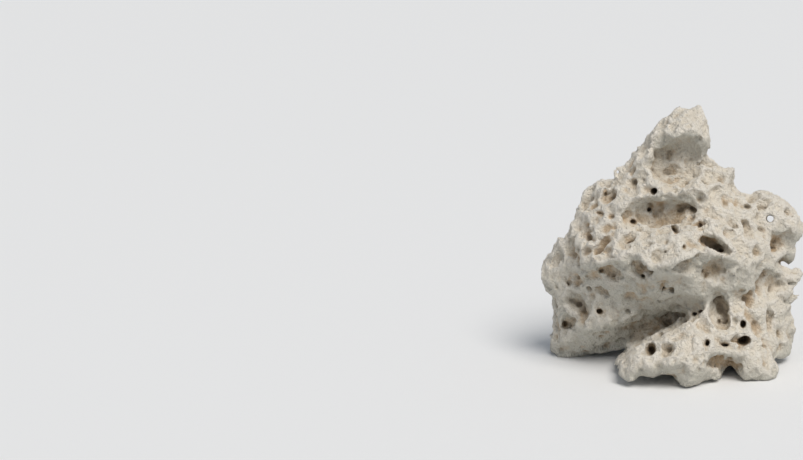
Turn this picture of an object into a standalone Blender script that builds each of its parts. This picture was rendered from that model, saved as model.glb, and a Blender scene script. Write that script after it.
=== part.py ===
"""Dry reef rock: one piece of dead, dry coral limestone, standing on the ground as it was set down.

Metres, +Z up. The rock rests on a few small flat spots at z = 0, and the origin is
under the middle of its bounding box.

A place on the rock is given as it is seen from a viewing point in front of the rock
and a little above it: how far right and how far up it shows on a picture plane through
the rock's middle, and how deep it lies, where minus is nearer. These are millimetres.

The rock is shaped in the order in which a real one is: first the broken block with its
faces and ridges, then its worn and lumpy skin, then the hollows that the sea wore into
it and the borings that animals left, and last the flat spots on which it rests.
"""

import math

import bmesh
import bpy
import numpy as np
from mathutils import Matrix, Quaternion, Vector, noise
from mathutils.bvhtree import BVHTree
from mathutils.geometry import delaunay_2d_cdt

# Sizes, in millimetres

MM = 0.001
MIDDLE = Vector((0.0, 0.0, 121.0))
VIEW_DISTANCE = 1925.0
VIEW_RISE = 14.0
BOX_MIDDLE = (-1.127, -0.758)
EDGE_THICKNESS = 18.0
GROUND_SIZE = 500.0

# The skin: its squares before and after the hollows are worn, the rounds of wear, how far
# it stands out from the block, and the share of its triangles that the solid keeps

SKIN_STEP = 2.2
BORE_STEP = 1.8
WEAR_ROUNDS = 2
SKIN_SHIFT = 1.4
FACET_SHARE = 0.0525

# Lumps: width, height and seed of each noise. The last one is only on the back, which
# starts at a depth of BACK_START and is at full strength BACK_FADE further on

LUMPS = ((36.0, 3.6, 7.0), (14.0, 2.8, 4.0))
BACK_LUMPS = (58.0, 14.0, 9.0)
BACK_START = 15.0
BACK_FADE = 45.0
NOISE_OFFSET = Vector((17.3, 7.7, 3.1))

# Bends that make round hollows uneven: width, height and seed of each noise, the step of
# the seed between axes, and the share that each kind of hollow takes

BENDS = ((26.0, 6.0, 3.0), (10.0, 2.6, 8.0))
BEND_SEED_STEP = 11.0
SCALLOP_BENDING = 0.6
HOLLOW_BENDING = 1.0
BORE_BENDING = 0.3

# Scallops: how many, the seed, the ranges that their lines and sizes are drawn from, how
# much the rock narrows for each millimetre up, and the smallest that the solid shows

SCALLOP_COUNT = 1100
SCALLOP_SEED = 5
SCALLOP_RISES = (-35.0, 60.0)
SCALLOP_LEVELS = (8.0, 253.0)
SCALLOP_DEPTHS = (-25.0, 50.0)
ROCK_HALF_WIDTH = 118.0
ROCK_NARROWING = 0.40
LARGEST_IN_FRONT = 13.0
LARGEST_ELSEWHERE = 22.0
SMALLEST_RADIUS = 3.5
SCALLOP_CUTS = (0.22, 0.44)
SCALLOP_SHAPES = (0.8, 1.3)
LINE_START = 400.0
SMALLEST_SCALLOP = 8.0

# Pressing: a surface that faces this far along the press isn't moved by it

FACING_AWAY = 0.3

# Borings: the narrowest that the solid shows

SMALLEST_BORE = 2.8

# The hole right through the ear: right, up, radius, how much wider its near end is, and
# the length and the sides of its cutting rod

THROUGH_HOLE = (97.0, 28.0, 4.0)
THROUGH_FLARE = 1.15
ROD_LENGTH = 90.0
ROD_SIDES = 12

# The finish

LIMESTONE = (0.72, 0.66, 0.57, 1.0)
ROUGHNESS = 0.95

# The outline from the viewing point, clockwise from the top, with the depth of its edge

OUTLINE = (
    (7, 138, 18), (27, 139, 18), (32, 126, 14), (35, 114, 12), (40, 104, 14), (38, 93, 14),
    (45, 87, 14), (51, 81, 12), (60, 81, 12), (60, 60, 10), (67, 59, 10), (75, 53, 10),
    (78, 49, 12), (84, 53, 18), (100, 54, 22), (103, 49, 20), (113, 42, 20), (120, 34, 18),
    (124, 25, 16), (129, 15, 14), (127, 8, 14), (118, 5, 14), (121, -3, 14), (120, -11, 14),
    (111, -16, 16), (115, -21, 14), (127, -25, 10), (126, -31, 10), (129, -39, 10), (122, -49, 8),
    (117, -56, 8), (117, -69, 6), (115, -77, 6), (118, -86, 4), (118, -101, 0), (110, -111, -16),
    (99, -111, -30), (103, -122, -40), (96, -130, -58), (81, -129, -62), (71, -131, -62), (65, -122, -44),
    (51, -120, -40), (45, -129, -66), (35, -130, -74), (28, -134, -80), (15, -139, -88), (7, -135, -84),
    (3, -128, -82), (-12, -127, -84), (-19, -130, -84), (-30, -128, -84), (-36, -129, -84), (-40, -136, -88),
    (-44, -133, -84), (-54, -129, -76), (-51, -118, -60), (-60, -118, -10), (-67, -118, 20), (-72, -113, 24),
    (-84, -109, 24), (-94, -114, 14), (-111, -114, 12), (-121, -105, 16), (-122, -96, 18), (-116, -67, 14),
    (-116, -52, 12), (-128, -32, 14), (-128, -20, 14), (-117, -3, 12), (-112, 12, 12), (-93, 36, 12),
    (-88, 54, 12), (-67, 73, 12), (-45, 91, 12), (-27, 109, 12), (-15, 123, 12), (-8, 125, 12),
)

# The faces that the viewing point sees: places on the ridges, in the dips and on the flats

FRONT = (
    # The apex: a bright face that leans back over a hollow
    (12, 133, 14), (25, 133, 14), (-4, 120, 0), (18, 125, 4), (28, 121, 4), (-10, 113, -6),
    (4, 115, -12), (18, 116, -12), (29, 112, -4),
    # The walls round the apex hollow and its floor
    (-20, 107, -2), (-19, 95, -8), (-32, 87, -4), (-24, 75, -14), (-15, 81, -8), (-4, 101, 4),
    (12, 97, 6), (0, 82, 2), (16, 79, 4), (8, 65, -12), (35, 101, 0), (32, 87, 0),
    (40, 75, 0), (28, 73, -8), (48, 72, 0), (54, 65, 0), (44, 59, -10),
    # The brow ridge
    (-40, 71, -6), (-54, 57, -10), (-42, 51, -22), (-32, 46, -32), (-20, 50, -34), (-8, 52, -36),
    (8, 56, -38), (22, 60, -32), (32, 51, -26), (-76, 55, 0), (-72, 43, -10), (-60, 41, -20),
    (-50, 41, -28),
    # The wide hollow under the brow
    (-32, 35, -22), (-17, 38, -16), (0, 40, -16), (18, 44, -22), (-24, 21, -28), (-8, 21, -26),
    (12, 25, -28), (28, 33, -28), (40, 43, -24), (54, 47, -12), (63, 41, -6),
    # The upper left face
    (-82, 33, -6), (-68, 25, -24), (-54, 25, -30), (-89, 19, -8), (-74, 11, -32), (-60, 11, -38),
    (-48, 7, -46), (-92, 1, -22), (-82, -3, -38), (-70, -5, -46), (-56, -3, -52),
    # The ledge, from left to right
    (-38, 5, -50), (-22, 7, -54), (-8, 9, -56), (6, 11, -58), (20, 13, -54), (31, 15, -46),
    (-36, -5, -62), (-24, -3, -66), (-11, -11, -70), (0, -9, -72), (12, -3, -70), (26, 2, -60),
    (31, -3, -62), (-76, -15, -52), (-62, -11, -58), (-49, -10, -66), (-32, -11, -70), (-20, -20, -74),
    (-12, -22, -76), (0, -17, -78), (12, -11, -76),
    # The rim of the eye, the big hole right of the ledge, and the nose under it
    (36, 19, -46), (50, 18, -42), (62, 9, -38), (67, -3, -42), (58, -10, -58), (44, -9, -66),
    (32, -6, -70), (50, -19, -44), (60, -25, -50), (56, -37, -44), (40, -35, -50), (28, -29, -56),
    (69, -17, -46),
    # The overhang under the ledge, down to its lip
    (-82, -29, -32), (-68, -29, -40), (-54, -29, -48), (-42, -31, -52), (-28, -33, -56), (-14, -35, -60),
    (2, -33, -62), (16, -33, -60), (-76, -45, -28), (-60, -45, -38), (-44, -47, -42), (-28, -47, -44),
    (-12, -48, -48), (6, -48, -52), (22, -48, -52), (36, -51, -44), (-84, -63, -22), (-68, -63, -28),
    (-52, -63, -30), (-32, -59, -30), (-12, -59, -32), (8, -59, -34), (26, -59, -34), (-72, -81, -30),
    (-60, -77, -34), (-48, -73, -36), (-38, -68, -34),
    # The left edge
    (-108, -1, -4), (-100, -11, -14), (-94, -17, -26), (-116, -21, 4), (-106, -29, -4), (-96, -41, -14),
    (-120, -35, 6), (-112, -47, 2), (-104, -55, -12),
    # The rounded lobe at the lower left
    (-96, -63, -24), (-110, -63, -4), (-112, -79, 0), (-100, -79, -6), (-88, -81, -18), (-80, -89, -20),
    (-116, -95, 8), (-104, -95, 0), (-90, -97, -4), (-110, -107, 12), (-96, -107, 10), (-82, -103, 4),
    (-76, -95, -6),
    # The floor of the long recess
    (-68, -105, 16), (-58, -101, 12), (-48, -93, 8), (-36, -85, 4), (-22, -79, 0), (-8, -73, -8),
    (-66, -113, 18), (-56, -111, 10), (-46, -105, 0), (-32, -95, -6), (-18, -87, -12), (-4, -81, -22),
    (12, -73, -32), (26, -67, -40),
    # The front foot, a long low lobe
    (-48, -119, -74), (-44, -111, -74), (-38, -105, -72), (-28, -99, -70), (-16, -95, -68), (-4, -90, -66),
    (10, -84, -64), (22, -76, -60), (32, -70, -56), (40, -81, -62), (-32, -115, -86), (-16, -111, -88),
    (0, -105, -88), (16, -99, -86), (32, -95, -80), (46, -91, -70), (-38, -125, -88), (-22, -123, -94),
    (-4, -119, -98), (12, -121, -98), (28, -115, -92), (40, -107, -80), (18, -131, -92), (32, -125, -86),
    (42, -119, -74),
    # The column on the right and the right foot
    (52, -45, -40), (58, -57, -40), (52, -77, -54), (60, -71, -50), (72, -63, -42), (68, -49, -38),
    (60, -85, -60), (74, -83, -54), (62, -99, -66), (78, -99, -62), (56, -107, -64), (72, -111, -66),
    (85, -107, -58), (70, -123, -66), (85, -123, -66), (96, -121, -54), (94, -109, -44),
    # The right flank
    (72, -27, -38), (80, -15, -36), (76, -37, -34), (86, -49, -24), (90, -29, -16), (92, -43, -10),
    (98, -35, 0), (106, -27, -2), (118, -30, 2), (118, -41, 2), (104, -49, -4), (96, -59, -20),
    (108, -63, -4), (86, -71, -38), (100, -75, -20), (110, -83, -4), (94, -91, -36), (108, -97, -14),
    (102, -105, -28),
    # The shoulder and the thin ear
    (68, 49, 0), (72, 37, -6), (64, 29, -20), (52, 31, -28), (40, 27, -36), (78, 41, 2),
    (84, 33, 0), (76, 23, -16), (72, 11, -30), (80, -1, -34), (90, -7, -26), (88, 45, 12),
    (98, 47, 12), (94, 37, 4), (106, 37, 8), (110, 25, 4), (100, 21, 2), (90, 25, -2),
    (88, 13, -10), (100, 9, 8), (114, 15, 4), (120, 17, 6), (108, 3, 10), (98, -1, -10),
    (106, -9, -2), (114, -5, 4), (100, -17, -12), (108, -17, 6),
)

# The far faces, as if seen through the rock

BACK = (
    (18, 127, 34), (14, 112, 44), (28, 107, 36), (-8, 97, 44), (18, 87, 58), (40, 72, 42),
    (-32, 72, 42), (-57, 52, 40), (-7, 62, 62), (28, 52, 70), (58, 47, 42), (-82, 22, 36),
    (-52, 27, 66), (-12, 27, 80), (28, 22, 84), (63, 22, 54), (88, 37, 36), (108, 27, 34),
    (118, 12, 30), (-102, -15, 34), (-82, -15, 50), (-52, -8, 78), (-12, -8, 90), (28, -11, 90),
    (63, -11, 78), (90, -3, 48), (110, -5, 32), (-116, -28, 30), (-102, -43, 46), (-72, -43, 76),
    (-37, -43, 88), (8, -43, 94), (48, -43, 92), (78, -43, 66), (103, -38, 44), (116, -33, 30),
    (-107, -73, 42), (-82, -78, 62), (-47, -78, 84), (-2, -78, 90), (43, -78, 84), (78, -78, 70),
    (106, -73, 36), (-110, -98, 36), (-87, -98, 52), (-52, -98, 66), (-12, -100, 68), (32, -107, 66),
    (64, -106, 56), (88, -98, 34), (108, -93, 22), (-32, -115, 40), (8, -115, 30), (43, -111, 28),
    (83, -115, -10),
)

# Hollows: the side they are seen from in degrees, name, right, up, half width, half
# height, depth, tilt in degrees, and how flat they are

HOLLOWS = (
    (0, "apex hollow", 6, 87, 25, 24, 10, 30, 1.6),
    (0, "scar beside it", -16, 105, 8, 11, 5, -20, 1.4),
    (0, "inner pit", 4, 89, 5, 7, 6, 15, 1),
    (0, "flare of the round bore", -29, 59, 10, 6, 6, -25, 1.3),
    (0, "wide brow hollow", -5, 32, 30, 13, 9, 4, 1.4),
    (0, "eye", 45, 2, 16, 8, 30, -25, 1),
    (0, "cup under the eye", 42, -23, 13, 12, 17, 0, 1),
    (0, "cup left of it", 17, -21, 11, 9, 10, 0, 1.1),
    (0, "groove over the cups", 28, -12, 20, 6, 4, 12, 1.3),
    (0, "tall hollow", 44, -63, 10, 16, 22, 4, 1),
    (0, "long recess", -10, -75, 46, 10, 9, 20, 1.4),
    (0, "cavity in the foot", -5, -103, 6, 8, 7, 0, 1),
    (0, "notch beside the arch", 44, -113, 12, 6, 10, 30, 1),
    (0, "rough scoop", 93, -38, 17, 14, 6, 0, 1.4),
    (0, "gap under the ear", 113, -16, 8, 4, 24, 0, 1),
    (0, "shade under the ear", 102, 2, 12, 6, 10, 0, 1),
    (0, "cut on the shoulder", 76, 18, 12, 4, 5, -38, 1.2),
    (0, "cut over the eye", 40, 35, 14, 5, 4, -25, 1.3),
    (0, "flare beside the ear", 107, 23, 7, 6, 4, 0, 1.3),
    (0, "hook scoop", -63, 52, 9, 10, 5, 0, 1.4),
    (0, "pit on the left face", -41, 10, 6, 6, 6, 0, 1),
    (0, "long scoop", -70, 5, 6, 13, 6, -18, 1.2),
    (0, "scoop in the band", -60, -29, 11, 9, 8, -10, 1.1),
    (0, "scoop in the band 2", -31, -25, 13, 8, 8, 0, 1.1),
    (0, "cup in the ledge", -16, -9, 6, 7, 6, 0, 1),
    (0, "low scoop in the band", -74, -45, 9, 6, 5, 15, 1.2),
    (0, "ragged scoop", -60, -55, 9, 6, 7, -25, 1.2),
    (0, "lobe cavity", -104, -75, 10, 9, 13, 0, 1),
    (0, "lobe cavity 2", -88, -67, 7, 8, 12, 0, 1),
    (0, "arch over the lobe", -101, -56, 15, 8, 12, 0, 1.1),
    (0, "left edge scoop", -105, 1, 9, 10, 8, 0, 1.1),
    (0, "left edge scoop 2", -95, -12, 5, 10, 6, 0, 1),
    (0, "left edge crack", -105, -33, 4, 10, 6, 20, 1),
    (0, "slope scoop", -47, 65, 12, 8, 3, -40, 1.8),
    (0, "shoulder scoop", 52, 69, 8, 8, 5, 0, 1.2),
    (0, "foot scoop", 80, -75, 9, 8, 5, 0, 1.3),
    (0, "flank scoop", 98, -71, 9, 12, 6, 15, 1.3),
    (0, "flank scoop 2", 80, -51, 9, 9, 5, -30, 1.3),
    (0, "top scoop of the ear", 89, 43, 7, 5, 5, 0, 1.2),
    (0, "scoop under the brow", 25, 25, 10, 7, 4, -20, 1.4),
)

BACK_HOLLOWS = (
    (180, "high hollow at the back", -8, 70, 22, 26, 12, 20, 1.6),
    (180, "broad hollow at the back", 30, -10, 36, 26, 15, -15, 1.6),
    (180, "low hollow at the back", -40, -58, 34, 22, 18, 12, 1.4),
    (180, "pocket at the back", -62, 4, 15, 12, 16, 0, 1),
    (180, "pocket at the back 2", 62, 30, 10, 13, 12, 20, 1),
    (180, "pocket at the back 3", 12, 34, 12, 9, 12, -10, 1),
    (180, "foot hollow at the back", 48, -92, 26, 14, 20, 0, 1.1),
    (180, "foot hollow at the back 2", -22, -96, 18, 12, 18, 0, 1.1),
    (90, "hollow on the right side", 38, -30, 20, 18, 12, 10, 1.4),
    (90, "hollow on the right side 2", 20, 40, 14, 20, 8, -20, 1.5),
    (90, "low hollow on the right side", 20, -82, 20, 12, 14, 0, 1.2),
    (270, "hollow on the left side", -30, -6, 22, 20, 12, 0, 1.5),
    (270, "low hollow on the left side", -44, -66, 20, 18, 14, 10, 1.3),
    (270, "high hollow on the left side", -14, 62, 14, 20, 7, 15, 1.6),
)

# Borings of worms and clams: side, name, right, up, half width, half height, depth, tilt

BORES = (
    (0, "apex hook", 15, 99, 2.2, 3.4, 10, 20),
    (0, "apex dot", -7, 75, 2.6, 2.2, 10, 0),
    (0, "summit dot", -3, 120, 1.4, 1.4, 6, 0),
    (0, "round bore", -19, 56, 4.4, 4.4, 26, 0),
    (0, "brow bore", -21, 36, 3.6, 2.8, 16, 0),
    (0, "brow bore 2", -38, 26, 3.8, 2.8, 12, 0),
    (0, "slot", 3, 19, 3.6, 7, 22, 20),
    (0, "square bore", -83, 10, 3.8, 4.6, 16, 0),
    (0, "hook bore", -67, 55, 2.6, 4, 14, 0),
    (0, "band bore", -70, -24, 4.6, 3.4, 16, 0),
    (0, "band bore 2", -30, -30, 3, 2.6, 12, 0),
    (0, "lip bore", -72, -65, 3.2, 3.2, 14, 0),
    (0, "lobe bore", -107, -76, 4.4, 4.4, 16, 0),
    (0, "foot bore", -22, -103, 5.6, 6.4, 28, -15),
    (0, "heel bore", 71, -94, 6.4, 5.4, 24, 0),
    (0, "column bore", 70, -77, 3.6, 4.2, 18, 0),
    (0, "column bore 2", 34, -96, 3.2, 4.6, 16, 0),
    (0, "slit", 52, -97, 4.4, 2, 12, 0),
    (0, "recess bore", 28, -65, 3.2, 2.6, 12, 25),
    (0, "recess bore 2", 22, -68, 3, 2.4, 12, 25),
    (0, "recess bore 3", 9, -74, 2.6, 2, 10, 0),
    (0, "recess bore 4", -11, -88, 2.6, 3.2, 8, 0),
    (0, "notch bore", -11, -55, 4, 2, 6, 0),
    (0, "shoulder bore", 53, 44, 3.4, 5, 9, 0),
    (0, "shoulder bore 2", 75, 40, 4, 3, 9, 0),
    (0, "flank slit", 118, -36, 5, 2, 10, 0),
    (0, "left slit", -63, -9, 4.6, 1.8, 8, -30),
    (0, "left slit 2", -74, 34, 4, 1.8, 8, -30),
    (0, "ledge dot", 13, -1, 2.4, 2.4, 8, 0),
    (0, "ledge dot 2", -7, -5, 1.6, 1.6, 6, 0),
    (0, "eye bottom", 50, -3, 5, 3.4, 34, -25),
    (0, "tall hollow bottom", 45, -76, 3, 4, 26, 10),
    (0, "cup bottom", 34, -27, 2.5, 6, 14, -10),
    (0, "ragged bore", -59, -52, 2.4, 3.4, 10, 30),
    (0, "crack bore", -104, -37, 1.6, 4, 8, 25),
)

BACK_BORES = (
    (180, "back bore", -20, 92, 4.2, 4.2, 22, 0),
    (180, "back bore 2", 20, 58, 5, 4, 24, 0),
    (180, "back bore 3", -34, 36, 3.6, 4.6, 20, 10),
    (180, "back bore 4", 40, 2, 5.4, 5, 26, 0),
    (180, "back bore 5", -14, -8, 4, 4, 22, 0),
    (180, "back bore 6", -70, -28, 4.4, 3.6, 20, 0),
    (180, "back bore 7", 78, -20, 4.6, 4.6, 22, 0),
    (180, "back bore 8", 8, -44, 3.8, 5.2, 22, 0),
    (180, "back bore 9", 60, -62, 5, 4.2, 24, 0),
    (180, "back bore 10", -52, -74, 4, 4, 22, 0),
    (180, "back bore 11", 88, 22, 3.6, 3.6, 16, 0),
    (90, "right bore", 20, 4, 4.2, 4.2, 20, 0),
    (90, "right bore 2", -12, -58, 4.8, 4, 22, 0),
    (90, "right bore 3", 44, -62, 3.8, 3.8, 20, 0),
    (90, "right bore 4", 8, 76, 3.6, 4.2, 16, 0),
    (270, "left bore", -10, 24, 4.2, 4.2, 20, 0),
    (270, "left bore 2", -52, -28, 5, 4.4, 24, 0),
    (270, "left bore 3", -6, -48, 4, 4, 20, 0),
    (270, "left bore 4", -28, 88, 3.6, 3.6, 14, 0),
)

# Hollows under the rock, which leave the spots that it rests on: middle and half sizes

UNDERSIDE = (
    (4, 0, -6, 84, 62, 24),
    (-44, -58, -6, 40, 38, 15),
    (56, -66, -8, 11, 40, 22),
    (-6, 80, -6, 26, 36, 16),
    (106, 14, -6, 36, 22, 18),
    (-64, 58, -6, 34, 26, 14),
    (-58, 26, -6, 26, 22, 14),
    (-112, -18, -6, 30, 20, 12),
)


def clear_scene():
    for obj in list(bpy.data.objects):
        bpy.data.objects.remove(obj, do_unlink=True)


def viewpoint(side):
    """The eye, and the picture plane's right and up, for a look at the rock from this side."""
    turn = Matrix.Rotation(math.radians(side), 3, "Z")
    rise = math.radians(VIEW_RISE)
    back = turn @ Vector((0.0, -math.cos(rise), math.sin(rise)))
    right = turn @ Vector((1.0, 0.0, 0.0))
    up = turn @ Vector((0.0, math.sin(rise), math.cos(rise)))
    return MIDDLE + back * VIEW_DISTANCE, right, up


def line_of_sight(side, across, above):
    eye, right, up = viewpoint(side)
    direction = MIDDLE + right * across + up * above - eye
    return eye, direction.normalized(), right, up


def seen_at(across, above, depth):
    """The point at this depth that shows at this place from the front."""
    eye, direction, _, _ = line_of_sight(0.0, across, above)
    return eye + direction * ((depth - eye.y) / direction.y)


def add_sheet(shape, points, thickness, turned):
    """Adds one side of the block, with triangles between its points, and returns its edge."""
    flat = [Vector(place[:2]) for place in OUTLINE + points]
    depths = [place[2] + thickness for place in OUTLINE] + [place[2] for place in points]
    count = len(OUTLINE)
    rim = [(i, (i + 1) % count) for i in range(count)]
    flat, _, faces, sources, _, _ = delaunay_2d_cdt(flat, rim, [list(range(count))], 1, 1e-4)
    corners = []
    edge = {}
    for place, source in zip(flat, sources):
        corner = shape.verts.new(seen_at(place.x, place.y, depths[source[0]]))
        corners.append(corner)
        for index in source:
            edge[index] = corner
    for face in faces:
        face = list(face)
        if turned:
            face.reverse()
        shape.faces.new([corners[i] for i in face])
    return edge


def broken_block():
    """The block as a closed cage of flat faces: a near side, a far side and the edge between."""
    shape = bmesh.new()
    near = add_sheet(shape, FRONT, 0.0, False)
    far = add_sheet(shape, BACK, EDGE_THICKNESS, True)
    count = len(OUTLINE)
    for i in range(count):
        j = (i + 1) % count
        shape.faces.new((near[i], near[j], far[j], far[i]))
    bmesh.ops.recalc_face_normals(shape, faces=shape.faces)
    bmesh.ops.scale(shape, vec=(MM, MM, MM), verts=shape.verts)
    mesh = bpy.data.meshes.new("block")
    shape.to_mesh(mesh)
    shape.free()
    return mesh


def add_object(name, mesh):
    obj = bpy.data.objects.new(name, mesh)
    bpy.context.scene.collection.objects.link(obj)
    return obj


def add_remesh(obj, step):
    """Makes the surface one closed skin of even squares."""
    remesh = obj.modifiers.new("one skin", "REMESH")
    remesh.mode = "VOXEL"
    remesh.voxel_size = step * MM
    remesh.adaptivity = 0.0


def add_wear(obj, rounds):
    wear = obj.modifiers.new("worn edges", "SMOOTH")
    wear.factor = 0.5
    wear.iterations = rounds


def settled(obj):
    """The object's mesh with its modifiers applied; the object itself is taken away."""
    bpy.context.view_layer.update()
    graph = bpy.context.evaluated_depsgraph_get()
    mesh = bpy.data.meshes.new_from_object(obj.evaluated_get(graph))
    bpy.data.objects.remove(obj, do_unlink=True)
    return mesh


def lump(place, wave, seed):
    """Smooth noise, about minus one to one, at a place in millimetres."""
    return noise.noise(place / wave + NOISE_OFFSET * seed)


def bend(place):
    """How far the rock's grain bends a round hollow at this place."""
    shift = Vector((0.0, 0.0, 0.0))
    for wave, height, seed in BENDS:
        for axis in range(3):
            shift[axis] += height * lump(place, wave, seed + BEND_SEED_STEP * axis)
    return shift


def skin_height(place):
    """How far the lumpy skin stands out from the broken block."""
    height = SKIN_SHIFT
    for wave, size, seed in LUMPS:
        height -= size * lump(place, wave, seed)
    wave, size, seed = BACK_LUMPS
    share = min(max((place.y - BACK_START) / BACK_FADE, 0.0), 1.0)
    height -= size * share * share * (3.0 - 2.0 * share) * lump(place, wave, seed)
    return height


def lumpy_skin(mesh):
    normals = [vertex.normal.copy() for vertex in mesh.vertices]
    for vertex, normal in zip(mesh.vertices, normals):
        vertex.co += normal * skin_height(vertex.co / MM) * MM


def first_hit(tree, start, direction):
    """The place and the normal where a line first meets the rock, in millimetres."""
    place, normal, _, _ = tree.ray_cast(start * MM, direction)
    if place is None:
        return None, None
    return place / MM, normal


def seen_hollow(tree, side, across, above, width, height, depth, tilt, flatness):
    """Middle, half sizes and axes of the ball that wears a hollow at the place seen from this side."""
    eye, inward, right, up = line_of_sight(side, across, above)
    surface, _ = first_hit(tree, eye, inward)
    up = (up - inward * up.dot(inward)).normalized()
    right = inward.cross(up)
    angle = math.radians(tilt)
    along = right * math.cos(angle) + up * math.sin(angle)
    over = up * math.cos(angle) - right * math.sin(angle)
    reach = depth * flatness
    return surface + inward * (depth - reach), (width, reach, height), (along, inward, over)


def pick(ends, share):
    """The value that lies this share of the way between two ends."""
    return ends[0] + (ends[1] - ends[0]) * share


def outward_line(azimuth, rise):
    """The direction this far round and this far up, both in radians."""
    level = math.cos(rise)
    return Vector((math.cos(azimuth) * level, math.sin(azimuth) * level, math.sin(rise)))


def scallops(tree):
    """The shallow scoops that cover the rock, each a radius and the middle, half sizes and axes of a ball."""
    chance = np.random.default_rng(SCALLOP_SEED)
    found = []
    for _ in range(SCALLOP_COUNT):
        draw = chance.random(14)
        outward = outward_line(2.0 * math.pi * draw[0], math.radians(pick(SCALLOP_RISES, draw[1])))
        level = pick(SCALLOP_LEVELS, draw[2])
        half_width = ROCK_HALF_WIDTH - ROCK_NARROWING * level
        aim = Vector((pick((-half_width, half_width), draw[3]), pick(SCALLOP_DEPTHS, draw[4]), level))
        surface, normal = first_hit(tree, aim + outward * LINE_START, -outward)
        if surface is None:
            continue
        largest = LARGEST_IN_FRONT if normal.y < -0.1 else LARGEST_ELSEWHERE
        radius = pick((SMALLEST_RADIUS, largest), draw[5] ** 2.4)
        cut = radius * pick(SCALLOP_CUTS, draw[6])
        radii = [radius * pick(SCALLOP_SHAPES, draw[7 + i]) for i in range(3)]
        inward = -normal
        along = inward.orthogonal().normalized()
        along.rotate(Quaternion(inward, 2.0 * math.pi * draw[10]))
        over = along.cross(inward)
        middle = surface + normal * (radii[1] - cut)
        found.append((radius, (middle, radii, (along, inward, over))))
    return found


class Skin:
    """The rock's skin as arrays of points and normals, in millimetres."""

    def __init__(self, mesh):
        self.mesh = mesh
        self.points = np.empty(len(mesh.vertices) * 3, np.float32)
        self.normals = np.empty(len(mesh.vertices) * 3, np.float32)
        mesh.vertices.foreach_get("co", self.points)
        mesh.vertices.foreach_get("normal", self.normals)
        self.points = self.points.reshape(-1, 3).astype(float) / MM
        self.normals = self.normals.reshape(-1, 3).astype(float)
        self.bends = np.array([bend(Vector(point)) for point in self.points])

    def press(self, ball, bending):
        """Moves the skin that lies inside a ball back to the ball's far side, as a thumb moves clay."""
        middle, radii, axes = ball
        places = self.points + bending * (self.bends - np.array(bend(middle))) - np.array(middle)
        along, inward, over = (places @ np.array(axis) / size for axis, size in zip(axes, radii))
        inside = along ** 2 + inward ** 2 + over ** 2 < 1.0
        inside &= self.normals @ np.array(axes[1]) < FACING_AWAY
        goal = np.sqrt(1.0 - along[inside] ** 2 - over[inside] ** 2)
        self.points[inside] += np.outer((goal - inward[inside]) * radii[1], np.array(axes[1]))

    def press_up(self, middle, radii):
        """Hollows the rock from below."""
        places = self.points + self.bends - np.array(bend(Vector(middle))) - np.array(middle)
        left = 1.0 - (places[:, 0] / radii[0]) ** 2 - (places[:, 1] / radii[1]) ** 2
        roof = radii[2] * np.sqrt(np.maximum(left, 0.0))
        under = (left > 0.0) & (places[:, 2] < roof)
        self.points[under, 2] += (roof - places[:, 2])[under]

    def write(self):
        self.mesh.vertices.foreach_set("co", (self.points * MM).astype(np.float32).ravel())
        self.mesh.update()


def ground_block():
    """All that lies below the ground, to cut the flat spots with."""
    shape = bmesh.new()
    bmesh.ops.create_cube(shape, size=GROUND_SIZE * MM)
    bmesh.ops.translate(shape, vec=(0.0, 0.0, -0.5 * GROUND_SIZE * MM), verts=shape.verts)
    mesh = bpy.data.meshes.new("ground")
    shape.to_mesh(mesh)
    shape.free()
    return mesh


def add_cutter(name, mesh):
    cutter = add_object(name, mesh)
    cutter.hide_render = True
    cutter.display_type = "WIRE"
    return cutter


def add_cut(obj, name, cutter):
    cut = obj.modifiers.new(name, "BOOLEAN")
    cut.operation = "DIFFERENCE"
    cut.solver = "EXACT"
    cut.object = cutter


def limestone():
    material = bpy.data.materials.new("limestone")
    material.use_nodes = True
    shader = material.node_tree.nodes["Principled BSDF"]
    shader.inputs["Base Color"].default_value = LIMESTONE
    shader.inputs["Roughness"].default_value = ROUGHNESS
    shader.inputs["Metallic"].default_value = 0.0
    return material


def even(mesh, step, rounds):
    """The same shape with an even skin, its edges worn by this many rounds."""
    obj = add_object("even", mesh)
    add_remesh(obj, step)
    add_wear(obj, rounds)
    return settled(obj)


def through_hole(tree):
    """A round rod along the line of sight, to cut the hole that goes right through the ear."""
    across, above, radius = THROUGH_HOLE
    eye, inward, _, _ = line_of_sight(0.0, across, above)
    surface, _ = first_hit(tree, eye, inward)
    shape = bmesh.new()
    turn = inward.to_track_quat("Z", "Y").to_matrix().to_4x4()
    bmesh.ops.create_cone(
        shape,
        cap_ends=True,
        segments=ROD_SIDES,
        radius1=radius * MM * THROUGH_FLARE,
        radius2=radius * MM,
        depth=ROD_LENGTH * MM,
        matrix=Matrix.Translation(surface * MM) @ turn,
    )
    mesh = bpy.data.meshes.new("through_hole")
    shape.to_mesh(mesh)
    shape.free()
    return mesh


def wear_hollows(mesh, tree):
    skin = Skin(mesh)
    for radius, ball in scallops(tree):
        if radius >= SMALLEST_SCALLOP:
            skin.press(ball, SCALLOP_BENDING)
    for side, _, *place in HOLLOWS + BACK_HOLLOWS:
        skin.press(seen_hollow(tree, side, *place), HOLLOW_BENDING)
    for x, y, z, wide, deep, tall in UNDERSIDE:
        skin.press_up((x, y, z), (wide, deep, tall))
    skin.write()


def bore_holes(mesh, tree):
    skin = Skin(mesh)
    for side, _, across, above, width, height, depth, tilt in BORES + BACK_BORES:
        if max(width, height) < SMALLEST_BORE:
            continue
        wide = max(width, SMALLEST_BORE)
        tall = max(height, SMALLEST_BORE)
        ball = seen_hollow(tree, side, across, above, wide, tall, depth, tilt, 1.0)
        skin.press(ball, BORE_BENDING)
    skin.write()


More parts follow.
